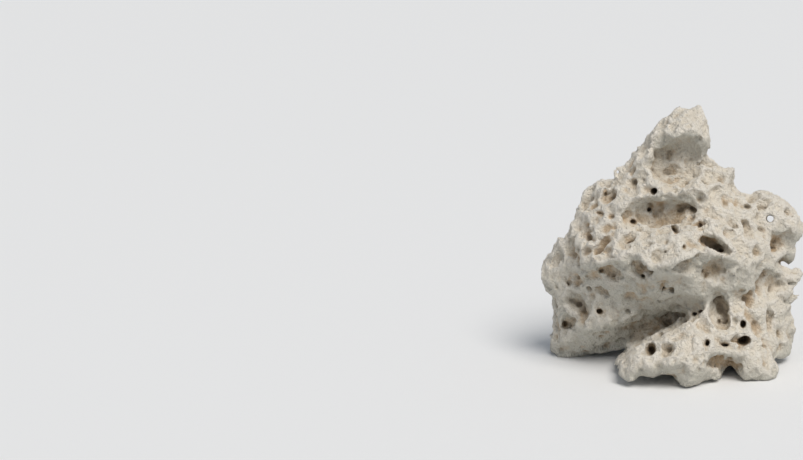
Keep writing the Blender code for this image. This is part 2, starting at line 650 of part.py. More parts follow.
def reef_rock():
    mesh = even(broken_block(), SKIN_STEP, WEAR_ROUNDS)
    lumpy_skin(mesh)
    corners = [vertex.co for vertex in mesh.vertices]
    tree = BVHTree.FromPolygons(corners, [tuple(face.vertices) for face in mesh.polygons])
    wear_hollows(mesh, tree)
    mesh = even(mesh, BORE_STEP, 0)
    bore_holes(mesh, tree)
    mesh = even(mesh, BORE_STEP, 1)
    shift = Vector((-BOX_MIDDLE[0] * MM, -BOX_MIDDLE[1] * MM, 0.0))
    mesh.transform(Matrix.Translation(shift))
    mesh.name = "reef_rock"
    mesh.materials.clear()
    mesh.materials.append(limestone())
    rock = add_object("reef_rock", mesh)
    facets = rock.modifiers.new("facets", "DECIMATE")
    facets.decimate_type = "COLLAPSE"
    facets.ratio = FACET_SHARE
    facets.use_collapse_triangulate = True
    hole = add_cutter("through_hole", through_hole(tree))
    hole.location = shift
    add_cut(rock, "hole through the ear", hole)
    add_cut(rock, "flat spots", add_cutter("ground", ground_block()))


clear_scene()
reef_rock()
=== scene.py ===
# %% [markdown]
# # Dry reef rock
#
# One piece of dead coral limestone, dried out and pale, as it stands on the ground. It is
# a single stone about 265 mm wide and 261 mm high. Its look comes from four things on
# four scales: the broken block with its ledge and overhang, the hollows that the sea wore
# into it, the round borings of clams and worms, and a crumbly grain of a millimetre or two.
#
# The solid in the frame has the first three as facets. This script makes the same rock
# again with the same block and the same cuts, but fine enough to carry the small scallops,
# pits, wrinkles and grain as real relief, and gives it the colours of weathered limestone,
# with painted light and painted shade in them.

# %% Start
import math
import time

import bmesh
import bpy
import numpy as np
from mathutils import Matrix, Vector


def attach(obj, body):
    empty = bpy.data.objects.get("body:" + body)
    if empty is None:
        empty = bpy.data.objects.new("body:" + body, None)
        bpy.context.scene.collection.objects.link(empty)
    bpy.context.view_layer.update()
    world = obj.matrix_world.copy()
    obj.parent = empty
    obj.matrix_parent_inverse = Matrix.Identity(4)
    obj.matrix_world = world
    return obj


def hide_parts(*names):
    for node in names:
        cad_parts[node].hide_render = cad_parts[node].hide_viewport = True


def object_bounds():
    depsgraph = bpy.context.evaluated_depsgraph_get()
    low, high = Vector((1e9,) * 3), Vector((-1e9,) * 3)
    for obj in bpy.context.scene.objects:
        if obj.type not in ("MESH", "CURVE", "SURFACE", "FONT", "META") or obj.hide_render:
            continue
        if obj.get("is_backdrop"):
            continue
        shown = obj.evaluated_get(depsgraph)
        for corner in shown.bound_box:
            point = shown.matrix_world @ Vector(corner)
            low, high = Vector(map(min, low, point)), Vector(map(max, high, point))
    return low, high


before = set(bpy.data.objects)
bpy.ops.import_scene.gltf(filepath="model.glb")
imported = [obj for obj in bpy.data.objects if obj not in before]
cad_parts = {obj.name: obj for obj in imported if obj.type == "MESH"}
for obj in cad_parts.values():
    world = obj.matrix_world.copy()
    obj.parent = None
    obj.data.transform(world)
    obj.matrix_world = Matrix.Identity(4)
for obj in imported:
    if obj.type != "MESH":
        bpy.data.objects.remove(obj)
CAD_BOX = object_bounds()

import openvdb
from mathutils import Matrix, Quaternion, Vector, noise
from mathutils.bvhtree import BVHTree
from mathutils.geometry import delaunay_2d_cdt

START = time.time()


def since_start():
    return "after %.1f s" % (time.time() - START)


print("CAD box", [[round(value, 4) for value in corner] for corner in CAD_BOX])

# %% [markdown]
# ## Looking at the rock
#
# A stone has no drawing, so it is measured from one side at a time. A place is
# given by how far right and how far up it shows on a picture plane through the rock's
# middle, and by how deep it lies, where minus is nearer. The same line of sight serves
# three uses: it places the block's corners, it finds where a hollow is pressed in, and it
# is where the camera stands at the end.
#
# Everything is in millimetres, and is turned into metres only when a mesh is made.

# %% Lines of sight
MM = 0.001
MIDDLE = Vector((0.0, 0.0, 121.0))
VIEW_DISTANCE = 1925.0
VIEW_RISE = 14.0


def viewpoint(side):
    """The eye, and the picture plane's right and up, for a look at the rock from this side."""
    turn = Matrix.Rotation(math.radians(side), 3, "Z")
    rise = math.radians(VIEW_RISE)
    back = turn @ Vector((0.0, -math.cos(rise), math.sin(rise)))
    right = turn @ Vector((1.0, 0.0, 0.0))
    up = turn @ Vector((0.0, math.sin(rise), math.cos(rise)))
    return MIDDLE + back * VIEW_DISTANCE, right, up


def line_of_sight(side, across, above):
    """The eye, and the line's direction to this place of the picture plane."""
    eye, right, up = viewpoint(side)
    return eye, (MIDDLE + right * across + up * above - eye).normalized()


def seen_at(across, above, depth):
    """The point at this depth that shows at this place from the front."""
    eye, direction = line_of_sight(0.0, across, above)
    return eye + direction * ((depth - eye.y) / direction.y)


print("eye", tuple(round(value) for value in viewpoint(0.0)[0]))

# %% [markdown]
# ## The block
#
# Limestone breaks along flat faces with ridges between them. A sculpted ball would look
# soft, so the block is built as a mason would read it: the outline first, then the
# corners of the near faces and of the far faces, each as right, up and depth. Both sheets
# of corners meet along the outline.

# %% The outline
OUTLINE = (
    (7, 138, 18), (27, 139, 18), (32, 126, 14), (35, 114, 12), (40, 104, 14), (38, 93, 14),
    (45, 87, 14), (51, 81, 12), (60, 81, 12), (60, 60, 10), (67, 59, 10), (75, 53, 10),
    (78, 49, 12), (84, 53, 18), (100, 54, 22), (103, 49, 20), (113, 42, 20), (120, 34, 18),
    (124, 25, 16), (129, 15, 14), (127, 8, 14), (118, 5, 14), (121, -3, 14), (120, -11, 14),
    (111, -16, 16), (115, -21, 14), (127, -25, 10), (126, -31, 10), (129, -39, 10), (122, -49, 8),
    (117, -56, 8), (117, -69, 6), (115, -77, 6), (118, -86, 4), (118, -101, 0), (110, -111, -16),
    (99, -111, -30), (103, -122, -40), (96, -130, -58), (81, -129, -62), (71, -131, -62), (65, -122, -44),
    (51, -120, -40), (45, -129, -66), (35, -130, -74), (28, -134, -80), (15, -139, -88), (7, -135, -84),
    (3, -128, -82), (-12, -127, -84), (-19, -130, -84), (-30, -128, -84), (-36, -129, -84), (-40, -136, -88),
    (-44, -133, -84), (-54, -129, -76), (-51, -118, -60), (-60, -118, -10), (-67, -118, 20), (-72, -113, 24),
    (-84, -109, 24), (-94, -114, 14), (-111, -114, 12), (-121, -105, 16), (-122, -96, 18), (-116, -67, 14),
    (-116, -52, 12), (-128, -32, 14), (-128, -20, 14), (-117, -3, 12), (-112, 12, 12), (-93, 36, 12),
    (-88, 54, 12), (-67, 73, 12), (-45, 91, 12), (-27, 109, 12), (-15, 123, 12), (-8, 125, 12),
)

# %% The near faces
FRONT = (
    # The apex: a bright face that leans back over a hollow
    (12, 133, 14), (25, 133, 14), (-4, 120, 0), (18, 125, 4), (28, 121, 4), (-10, 113, -6),
    (4, 115, -12), (18, 116, -12), (29, 112, -4),
    # The walls round the apex hollow and its floor
    (-20, 107, -2), (-19, 95, -8), (-32, 87, -4), (-24, 75, -14), (-15, 81, -8), (-4, 101, 4),
    (12, 97, 6), (0, 82, 2), (16, 79, 4), (8, 65, -12), (35, 101, 0), (32, 87, 0),
    (40, 75, 0), (28, 73, -8), (48, 72, 0), (54, 65, 0), (44, 59, -10),
    # The brow ridge
    (-40, 71, -6), (-54, 57, -10), (-42, 51, -22), (-32, 46, -32), (-20, 50, -34), (-8, 52, -36),
    (8, 56, -38), (22, 60, -32), (32, 51, -26), (-76, 55, 0), (-72, 43, -10), (-60, 41, -20),
    (-50, 41, -28),
    # The wide hollow under the brow
    (-32, 35, -22), (-17, 38, -16), (0, 40, -16), (18, 44, -22), (-24, 21, -28), (-8, 21, -26),
    (12, 25, -28), (28, 33, -28), (40, 43, -24), (54, 47, -12), (63, 41, -6),
    # The upper left face
    (-82, 33, -6), (-68, 25, -24), (-54, 25, -30), (-89, 19, -8), (-74, 11, -32), (-60, 11, -38),
    (-48, 7, -46), (-92, 1, -22), (-82, -3, -38), (-70, -5, -46), (-56, -3, -52),
    # The ledge, from left to right
    (-38, 5, -50), (-22, 7, -54), (-8, 9, -56), (6, 11, -58), (20, 13, -54), (31, 15, -46),
    (-36, -5, -62), (-24, -3, -66), (-11, -11, -70), (0, -9, -72), (12, -3, -70), (26, 2, -60),
    (31, -3, -62), (-76, -15, -52), (-62, -11, -58), (-49, -10, -66), (-32, -11, -70), (-20, -20, -74),
    (-12, -22, -76), (0, -17, -78), (12, -11, -76),
    # The rim of the eye, the big hole right of the ledge, and the nose under it
    (36, 19, -46), (50, 18, -42), (62, 9, -38), (67, -3, -42), (58, -10, -58), (44, -9, -66),
    (32, -6, -70), (50, -19, -44), (60, -25, -50), (56, -37, -44), (40, -35, -50), (28, -29, -56),
    (69, -17, -46),
    # The overhang under the ledge, down to its lip
    (-82, -29, -32), (-68, -29, -40), (-54, -29, -48), (-42, -31, -52), (-28, -33, -56), (-14, -35, -60),
    (2, -33, -62), (16, -33, -60), (-76, -45, -28), (-60, -45, -38), (-44, -47, -42), (-28, -47, -44),
    (-12, -48, -48), (6, -48, -52), (22, -48, -52), (36, -51, -44), (-84, -63, -22), (-68, -63, -28),
    (-52, -63, -30), (-32, -59, -30), (-12, -59, -32), (8, -59, -34), (26, -59, -34), (-72, -81, -30),
    (-60, -77, -34), (-48, -73, -36), (-38, -68, -34),
    # The left edge
    (-108, -1, -4), (-100, -11, -14), (-94, -17, -26), (-116, -21, 4), (-106, -29, -4), (-96, -41, -14),
    (-120, -35, 6), (-112, -47, 2), (-104, -55, -12),
    # The rounded lobe at the lower left
    (-96, -63, -24), (-110, -63, -4), (-112, -79, 0), (-100, -79, -6), (-88, -81, -18), (-80, -89, -20),
    (-116, -95, 8), (-104, -95, 0), (-90, -97, -4), (-110, -107, 12), (-96, -107, 10), (-82, -103, 4),
    (-76, -95, -6),
    # The floor of the long recess
    (-68, -105, 16), (-58, -101, 12), (-48, -93, 8), (-36, -85, 4), (-22, -79, 0), (-8, -73, -8),
    (-66, -113, 18), (-56, -111, 10), (-46, -105, 0), (-32, -95, -6), (-18, -87, -12), (-4, -81, -22),
    (12, -73, -32), (26, -67, -40),
    # The front foot, a long low lobe
    (-48, -119, -74), (-44, -111, -74), (-38, -105, -72), (-28, -99, -70), (-16, -95, -68), (-4, -90, -66),
    (10, -84, -64), (22, -76, -60), (32, -70, -56), (40, -81, -62), (-32, -115, -86), (-16, -111, -88),
    (0, -105, -88), (16, -99, -86), (32, -95, -80), (46, -91, -70), (-38, -125, -88), (-22, -123, -94),
    (-4, -119, -98), (12, -121, -98), (28, -115, -92), (40, -107, -80), (18, -131, -92), (32, -125, -86),
    (42, -119, -74),
    # The column on the right and the right foot
    (52, -45, -40), (58, -57, -40), (52, -77, -54), (60, -71, -50), (72, -63, -42), (68, -49, -38),
    (60, -85, -60), (74, -83, -54), (62, -99, -66), (78, -99, -62), (56, -107, -64), (72, -111, -66),
    (85, -107, -58), (70, -123, -66), (85, -123, -66), (96, -121, -54), (94, -109, -44),
    # The right flank
    (72, -27, -38), (80, -15, -36), (76, -37, -34), (86, -49, -24), (90, -29, -16), (92, -43, -10),
    (98, -35, 0), (106, -27, -2), (118, -30, 2), (118, -41, 2), (104, -49, -4), (96, -59, -20),
    (108, -63, -4), (86, -71, -38), (100, -75, -20), (110, -83, -4), (94, -91, -36), (108, -97, -14),
    (102, -105, -28),
    # The shoulder and the thin ear
    (68, 49, 0), (72, 37, -6), (64, 29, -20), (52, 31, -28), (40, 27, -36), (78, 41, 2),
    (84, 33, 0), (76, 23, -16), (72, 11, -30), (80, -1, -34), (90, -7, -26), (88, 45, 12),
    (98, 47, 12), (94, 37, 4), (106, 37, 8), (110, 25, 4), (100, 21, 2), (90, 25, -2),
    (88, 13, -10), (100, 9, 8), (114, 15, 4), (120, 17, 6), (108, 3, 10), (98, -1, -10),
    (106, -9, -2), (114, -5, 4), (100, -17, -12), (108, -17, 6),
)

# %% The far faces
BACK = (
    (18, 127, 34), (14, 112, 44), (28, 107, 36), (-8, 97, 44), (18, 87, 58), (40, 72, 42),
    (-32, 72, 42), (-57, 52, 40), (-7, 62, 62), (28, 52, 70), (58, 47, 42), (-82, 22, 36),
    (-52, 27, 66), (-12, 27, 80), (28, 22, 84), (63, 22, 54), (88, 37, 36), (108, 27, 34),
    (118, 12, 30), (-102, -15, 34), (-82, -15, 50), (-52, -8, 78), (-12, -8, 90), (28, -11, 90),
    (63, -11, 78), (90, -3, 48), (110, -5, 32), (-116, -28, 30), (-102, -43, 46), (-72, -43, 76),
    (-37, -43, 88), (8, -43, 94), (48, -43, 92), (78, -43, 66), (103, -38, 44), (116, -33, 30),
    (-107, -73, 42), (-82, -78, 62), (-47, -78, 84), (-2, -78, 90), (43, -78, 84), (78, -78, 70),
    (106, -73, 36), (-110, -98, 36), (-87, -98, 52), (-52, -98, 66), (-12, -100, 68), (32, -107, 66),
    (64, -106, 56), (88, -98, 34), (108, -93, 22), (-32, -115, 40), (8, -115, 30), (43, -111, 28),
    (83, -115, -10),
)

print(len(OUTLINE), "corners on the outline,", len(FRONT), "in front and", len(BACK), "behind")

# %% [markdown]
# Triangles between neighbouring corners give the flat faces and the ridges. The two sheets
# are joined along the outline by a narrow edge, because a broken rim is never knife-sharp.

# %% The broken block
EDGE_THICKNESS = 18.0
KEEP_INSIDE = 1
SAME_CORNER = 1e-4


def add_sheet(shape, points, thickness, turned):
    """Adds one side of the block, with triangles between its points, and returns its edge."""
    flat = [Vector(place[:2]) for place in OUTLINE + points]
    depths = [place[2] + thickness for place in OUTLINE] + [place[2] for place in points]
    count = len(OUTLINE)
    rim = [(i, (i + 1) % count) for i in range(count)]
    found = delaunay_2d_cdt(flat, rim, [list(range(count))], KEEP_INSIDE, SAME_CORNER)
    flat, _, faces, sources, _, _ = found
    corners = []
    edge = {}
    for place, source in zip(flat, sources):
        corner = shape.verts.new(seen_at(place.x, place.y, depths[source[0]]))
        corners.append(corner)
        for index in source:
            edge[index] = corner
    for face in faces:
        ring = [corners[i] for i in face]
        shape.faces.new(ring[::-1] if turned else ring)
    return edge


def broken_block():
    """The block as a closed cage of flat faces: a near side, a far side and the edge between."""
    shape = bmesh.new()
    near = add_sheet(shape, FRONT, 0.0, False)
    far = add_sheet(shape, BACK, EDGE_THICKNESS, True)
    count = len(OUTLINE)
    for i in range(count):
        j = (i + 1) % count
        shape.faces.new((near[i], near[j], far[j], far[i]))
    bmesh.ops.recalc_face_normals(shape, faces=shape.faces)
    bmesh.ops.scale(shape, vec=(MM, MM, MM), verts=shape.verts)
    mesh = bpy.data.meshes.new("block")
    shape.to_mesh(mesh)
    shape.free()
    print("block", len(mesh.vertices), "corners,", len(mesh.polygons), "faces")
    return mesh


# %% Objects and finished meshes
def add_object(name, data):
    obj = bpy.data.objects.new(name, data)
    bpy.context.scene.collection.objects.link(obj)
    return obj


def settled(obj):
    """The object's mesh with its modifiers applied; the object itself is taken away."""
    bpy.context.view_layer.update()
    graph = bpy.context.evaluated_depsgraph_get()
    mesh = bpy.data.meshes.new_from_object(obj.evaluated_get(graph))
    bpy.data.objects.remove(obj, do_unlink=True)
    return mesh


# %% [markdown]
# ## The worn, lumpy skin
#
# Years in the surf took the edge off every ridge. The block is given an even skin, its
# ridges are rubbed down a little, and two sizes of soft noise make it lumpy. The back,
# which was never broken fresh, has larger lumps.

# %% How far the skin stands out
SKIN_SHIFT = 1.4
LUMPS = ((36.0, 3.6, 7.0), (14.0, 2.8, 4.0))
BACK_LUMPS = (58.0, 14.0, 9.0)
BACK_START = 15.0
BACK_FADE = 45.0
NOISE_OFFSET = Vector((17.3, 7.7, 3.1))


def lump(place, wave, seed):
    """Smooth noise, about minus one to one, at a place in millimetres."""
    return noise.noise(place / wave + NOISE_OFFSET * seed)


def skin_height(place):
    """How far the lumpy skin stands out from the broken block."""
    height = SKIN_SHIFT
    for wave, size, seed in LUMPS:
        height -= size * lump(place, wave, seed)
    wave, size, seed = BACK_LUMPS
    share = min(max((place.y - BACK_START) / BACK_FADE, 0.0), 1.0)
    height -= size * share * share * (3.0 - 2.0 * share) * lump(place, wave, seed)
    return height


# %% The skin
SKIN_STEP = 2.2
WEAR_ROUNDS = 2
WEAR_SHARE = 0.5


def lumpy_skin():
    block = add_object("block", broken_block())
    remesh = block.modifiers.new("one skin", "REMESH")
    remesh.mode = "VOXEL"
    remesh.voxel_size = SKIN_STEP * MM
    remesh.adaptivity = 0.0
    wear = block.modifiers.new("worn edges", "SMOOTH")
    wear.factor = WEAR_SHARE
    wear.iterations = WEAR_ROUNDS
    mesh = settled(block)
    normals = [vertex.normal.copy() for vertex in mesh.vertices]
    for vertex, normal in zip(mesh.vertices, normals):
        vertex.co += normal * skin_height(vertex.co / MM) * MM
    return mesh


SKIN = lumpy_skin()
SKIN_FACES = [tuple(polygon.vertices) for polygon in SKIN.polygons]
TREE = BVHTree.FromPolygons([vertex.co for vertex in SKIN.vertices], SKIN_FACES)
print("skin", len(SKIN.vertices), "points,", since_start())

# %% [markdown]
# ## The stone as a field of distances
#
# To carve thousands of overlapping scoops cleanly, the skin is turned into a field: a box
# of small cells that each hold the distance to the surface, minus inside the stone. To
# carve is then to take the larger of two distances, and no mesh ever has to be cut. The
# distances reach only as deep as the deepest cut, and the surface is read from a few cells
# on each side of it.

# %% The field
DEEPEST = 30.0
CELLS_EACH_SIDE = 3.0


class Field:
    """Distances to the stone's surface on a grid, in millimetres."""

    def __init__(self, low, high, step):
        self.step = step
        self.low = np.array(low, float)
        self.size = np.ceil((np.array(high, float) - self.low) / step).astype(int) + 1
        self.axes = [self.low[i] + step * np.arange(self.size[i]) for i in range(3)]
        self.cells = None
        self.bends = None

    def fill_from(self, mesh, faces):
        """Sets each cell to its distance from a closed mesh."""
        points = np.empty(len(mesh.vertices) * 3, np.float32)
        mesh.vertices.foreach_get("co", points)
        grid = openvdb.FloatGrid.createLevelSetFromPolygons(
            ((points.reshape(-1, 3) / MM - self.low) / self.step).astype(np.float32),
            quads=np.array(faces, np.uint32),
            transform=openvdb.createLinearTransform(voxelSize=1.0),
            halfWidth=DEEPEST / self.step,
        )
        self.cells = np.zeros(tuple(self.size), np.float32)
        grid.copyToArray(self.cells, ijk=(0, 0, 0))
        self.cells *= self.step

    def surface(self):
        """Points in millimetres and faces of the surface."""
        grid = openvdb.FloatGrid()
        reach = CELLS_EACH_SIDE * self.step
        grid.copyFromArray(np.clip(self.cells, -reach, reach), tolerance=0.0)
        points, triangles, quads = grid.convertToPolygons(isovalue=0.0, adaptivity=0.0)
        return points * self.step + self.low, triangles, quads


# %% Reading a grid between its cells
def cell_and_share(places, low, step, first, last):
    """For each place the cell below it, and how far it lies towards the next one."""
    spots = (places - low) / step
    base = np.clip(np.floor(spots).astype(int), first, last)
    return base, np.clip(spots - base, 0.0, 1.0)


def sample(field, cells, places):
    """Values of a grid like the field's at places, with straight-line blending between cells."""
    base, share = cell_and_share(places, field.low, field.step, 0, field.size - 2)
    found = np.zeros(len(places))
    for corner in range(8):
        bits = [(corner >> i) & 1 for i in range(3)]
        weight = 1.0
        for i in range(3):
            weight = weight * (share[:, i] if bits[i] else 1.0 - share[:, i])
        found += weight * cells[base[:, 0] + bits[0], base[:, 1] + bits[1], base[:, 2] + bits[2]]
    return found


def slopes(field, cells, places, reach):
    """How much a grid's values grow along each axis, from this far before to this far after."""
    found = []
    for axis in range(3):
        step = np.zeros(3)
        step[axis] = reach
        found.append(sample(field, cells, places + step) - sample(field, cells, places - step))
    return np.array(found).T


def blurred(cells, reach, rounds):
    """The grid smoothed over a cube of this many cells each way, again and again."""
    for _ in range(rounds):
        for axis in range(3):
            last = cells.shape[axis] - 1
            spots = np.arange(last + 1)
            total = np.insert(np.cumsum(cells, axis=axis, dtype=np.float64), 0, 0.0, axis=axis)
            ahead = np.minimum(spots + reach, last)
            behind = np.maximum(spots - reach, 0)
            width = np.expand_dims(ahead - behind + 1, tuple(i for i in range(3) if i != axis))
            run = np.take(total, ahead + 1, axis) - np.take(total, behind, axis)
            cells = (run / width).astype(np.float32)
    return cells


# %% [markdown]
# ## Bends
#
# A hollow that is worn into coral follows its growth and is never a clean ball. Three
# smooth noises say how far the stone's grain is bent along each axis, and every hollow is
# cut as if the stone were straight. They change slowly, so they are worked out on a coarse
# lattice and read from it at every cell.

# %% How the grain of the stone bends
FIELD_STEP = 1.3
FIELD_LOW = (-142, -110, -10)
FIELD_HIGH = (142, 112, 272)
LATTICE_STEP = 3.6
BENDS = ((26.0, 6.0, 3.0), (10.0, 2.6, 8.0))
BEND_SEED_STEP = 11.0


def line_weights(places, low, step, count):
    """Weights that read a row of values at places between them, along straight lines."""
    base, share = cell_and_share(places, low, step, 0, count - 2)
    weights = np.zeros((len(places), count), np.float32)
    weights[np.arange(len(places)), base] = 1.0 - share
    weights[np.arange(len(places)), base + 1] = share
    return weights


def spread_out(lattice, weights):
    """The values of a lattice at every cell, from the weights along each axis."""
    spread = np.tensordot(weights[0], lattice, (1, 0))
    spread = np.tensordot(spread, weights[1], (1, 1)).transpose(0, 2, 1)
    return np.tensordot(spread, weights[2], (2, 1)).astype(np.float32)


def lattice_round(field, step, margin):
    """The low corner and the counts of a coarse lattice that holds the field."""
    low = field.low - margin * step
    spans = [axis[-1] - start for axis, start in zip(field.axes, low)]
    return low, [math.ceil(span / step) + 2 * margin for span in spans]


def bend_at(place, axis):
    """How far the rock's grain bends a round hollow along one axis."""
    return sum(height * lump(place, wave, seed + BEND_SEED_STEP * axis) for wave, height, seed in BENDS)


def bends_along(field, axis):
    low, counts = lattice_round(field, LATTICE_STEP, 1)
    lattice = np.empty(counts, np.float32)
    for spot in np.ndindex(*counts):
        lattice[spot] = bend_at(Vector(low + LATTICE_STEP * np.array(spot)), axis)
    weights = [line_weights(field.axes[i], low[i], LATTICE_STEP, counts[i]) for i in range(3)]
    return spread_out(lattice, weights)


STONE = Field(FIELD_LOW, FIELD_HIGH, FIELD_STEP)
STONE.fill_from(SKIN, SKIN_FACES)
STONE.bends = [bends_along(STONE, axis) for axis in range(3)]
print("field", tuple(STONE.size), "cells,", since_start())

# %% [markdown]
# ## Carving
#
# Every hollow is a ball, long or flat, that is taken out of the stone. Where it meets the
# surface the rim is rounded, less for a fresh boring and more for a hollow that the water
# has used. Only the cells near the ball are worked on, which keeps thousands of cuts quick.

# %% Taking a ball out of the stone
CRISP_RIM = 0.7
PLAIN_RIM = 1.0
WORN_RIM = 2.0
MOST_BEND = 9.0
TINY = 1e-6


def blend_larger(first, second, width):
    """The larger of two distances, with their meeting rounded over this width."""
    overlap = np.maximum(width - np.abs(first - second), 0.0) / width
    return np.maximum(first, second) + overlap * overlap * (0.25 * width)


def depth_in_ball(offsets, radii):
    """About how far cells lie inside a ball, from their offsets along its axes."""
    near = np.sqrt(sum((offset / size) ** 2 for offset, size in zip(offsets, radii)))
    steep = np.sqrt(sum((offset / size**2) ** 2 for offset, size in zip(offsets, radii)))
    return (near * (1.0 - near) / np.maximum(steep, TINY)).astype(np.float32)


def near_part(field, middle, reach):
    """The slices of the cells within reach of a point."""
    low = np.floor((np.array(middle) - reach - field.low) / field.step).astype(int)
    high = np.ceil((np.array(middle) + reach - field.low) / field.step).astype(int) + 1
    low = np.clip(low, 0, field.size - 1)
    high = np.clip(high, low + 1, field.size)
    return tuple(slice(low[i], high[i]) for i in range(3))


def bent_offsets(field, part, middle, bending):
    """How far the cells of a part lie from a point along each axis, in the bent grain."""
    cell = np.round((np.array(middle) - field.low) / field.step).astype(int)
    at_middle = tuple(np.clip(cell, 0, field.size - 1))
    offsets = []
    for i in range(3):
        shape = [1, 1, 1]
        shape[i] = -1
        line = field.axes[i][part[i]].reshape(shape) - middle[i]
        offsets.append(line + bending * (field.bends[i][part] - field.bends[i][at_middle]))
    return offsets


def carve(field, ball, bending, rim):
    """Takes a bent ball out of the stone, with a rim rounded over this many millimetres."""
    middle, radii, axes = ball
    part = near_part(field, middle, max(radii) + MOST_BEND * bending + WORN_RIM)
    x, y, z = bent_offsets(field, part, middle, bending)
    turned = [axis[0] * x + axis[1] * y + axis[2] * z for axis in axes]
    field.cells[part] = blend_larger(field.cells[part], depth_in_ball(turned, radii), rim)


# %% [markdown]
# ## Scallops
#
# Reef rock is scooped all over, because shells, sponges and waves take it away in bites.
# The bites overlap and leave the crisp ridges between them. They are set by lines shot at
# the rock from all round, large and shallow ones at the back and small ones in front.

# %% Lines that meet the rock
def first_hit(start, direction):
    """The place and the normal where a line first meets the rock, in millimetres."""
    place, normal, _, _ = TREE.ray_cast(start * MM, direction)
    if place is None:
        return None, None
    return place / MM, normal


def pick(ends, share):
    """The value that lies this share of the way between two ends."""
    return ends[0] + (ends[1] - ends[0]) * share


def outward_line(azimuth, rise):
    """The direction this far round and this far up, both in radians."""
    level = math.cos(rise)
    return Vector((math.cos(azimuth) * level, math.sin(azimuth) * level, math.sin(rise)))


def ball_axes(inward, turn):
    """A ball's three axes, with the middle one along inward and the others turned round it."""
    along = inward.orthogonal().normalized()
    along.rotate(Quaternion(inward, 2.0 * math.pi * turn))
    return along, inward, along.cross(inward)


# %% Carve the scallops
SCALLOP_COUNT = 1100
SCALLOP_SEED = 5
SCALLOP_DRAWS = 14
SCALLOP_RISES = (-35.0, 60.0)
SCALLOP_LEVELS = (8.0, 253.0)
SCALLOP_DEPTHS = (-25.0, 50.0)
ROCK_HALF_WIDTH = 118.0
ROCK_NARROWING = 0.40
LINE_START = 400.0
FACES_FRONT = -0.1
LARGEST_IN_FRONT = 13.0
LARGEST_ELSEWHERE = 22.0
SMALLEST_RADIUS = 3.5
MOSTLY_SMALL = 2.4
SCALLOP_CUTS = (0.22, 0.44)
SCALLOP_SHAPES = (0.8, 1.3)
SMALL_SCALLOP = 8.0
SCALLOP_BENDING = 0.6
SMALL_SCALLOP_BENDING = 1.2


def scallop(draw):
    """The radius and the ball of one shallow scoop, or None where its line misses the rock."""
    outward = outward_line(2.0 * math.pi * draw[0], math.radians(pick(SCALLOP_RISES, draw[1])))
    level = pick(SCALLOP_LEVELS, draw[2])
    half_width = ROCK_HALF_WIDTH - ROCK_NARROWING * level
    aim = Vector((pick((-half_width, half_width), draw[3]), pick(SCALLOP_DEPTHS, draw[4]), level))
    surface, normal = first_hit(aim + outward * LINE_START, -outward)
    if surface is None:
        return None
    largest = LARGEST_IN_FRONT if normal.y < FACES_FRONT else LARGEST_ELSEWHERE
    radius = pick((SMALLEST_RADIUS, largest), draw[5] ** MOSTLY_SMALL)
    cut = radius * pick(SCALLOP_CUTS, draw[6])
    radii = [radius * pick(SCALLOP_SHAPES, share) for share in draw[7:10]]
    middle = surface + normal * (radii[1] - cut)
    return radius, (middle, radii, ball_axes(-normal, draw[10]))


DRAWS = np.random.default_rng(SCALLOP_SEED).random((SCALLOP_COUNT, SCALLOP_DRAWS))
FOUND = [found for found in map(scallop, DRAWS) if found]
for radius, ball in FOUND:
    carve(STONE, ball, SCALLOP_BENDING if radius >= SMALL_SCALLOP else SMALL_SCALLOP_BENDING, PLAIN_RIM)
print(len(FOUND), "scallops,", since_start())

# %% [markdown]
# ## Hollows
#
# The sea wore the wide hollows where the stone was weakest, so they follow no rule and are
# listed. Each row is a ball that is pressed in where it shows from the side given in
# degrees: name, right, up, half width, half height, depth, tilt, and how flat it is.

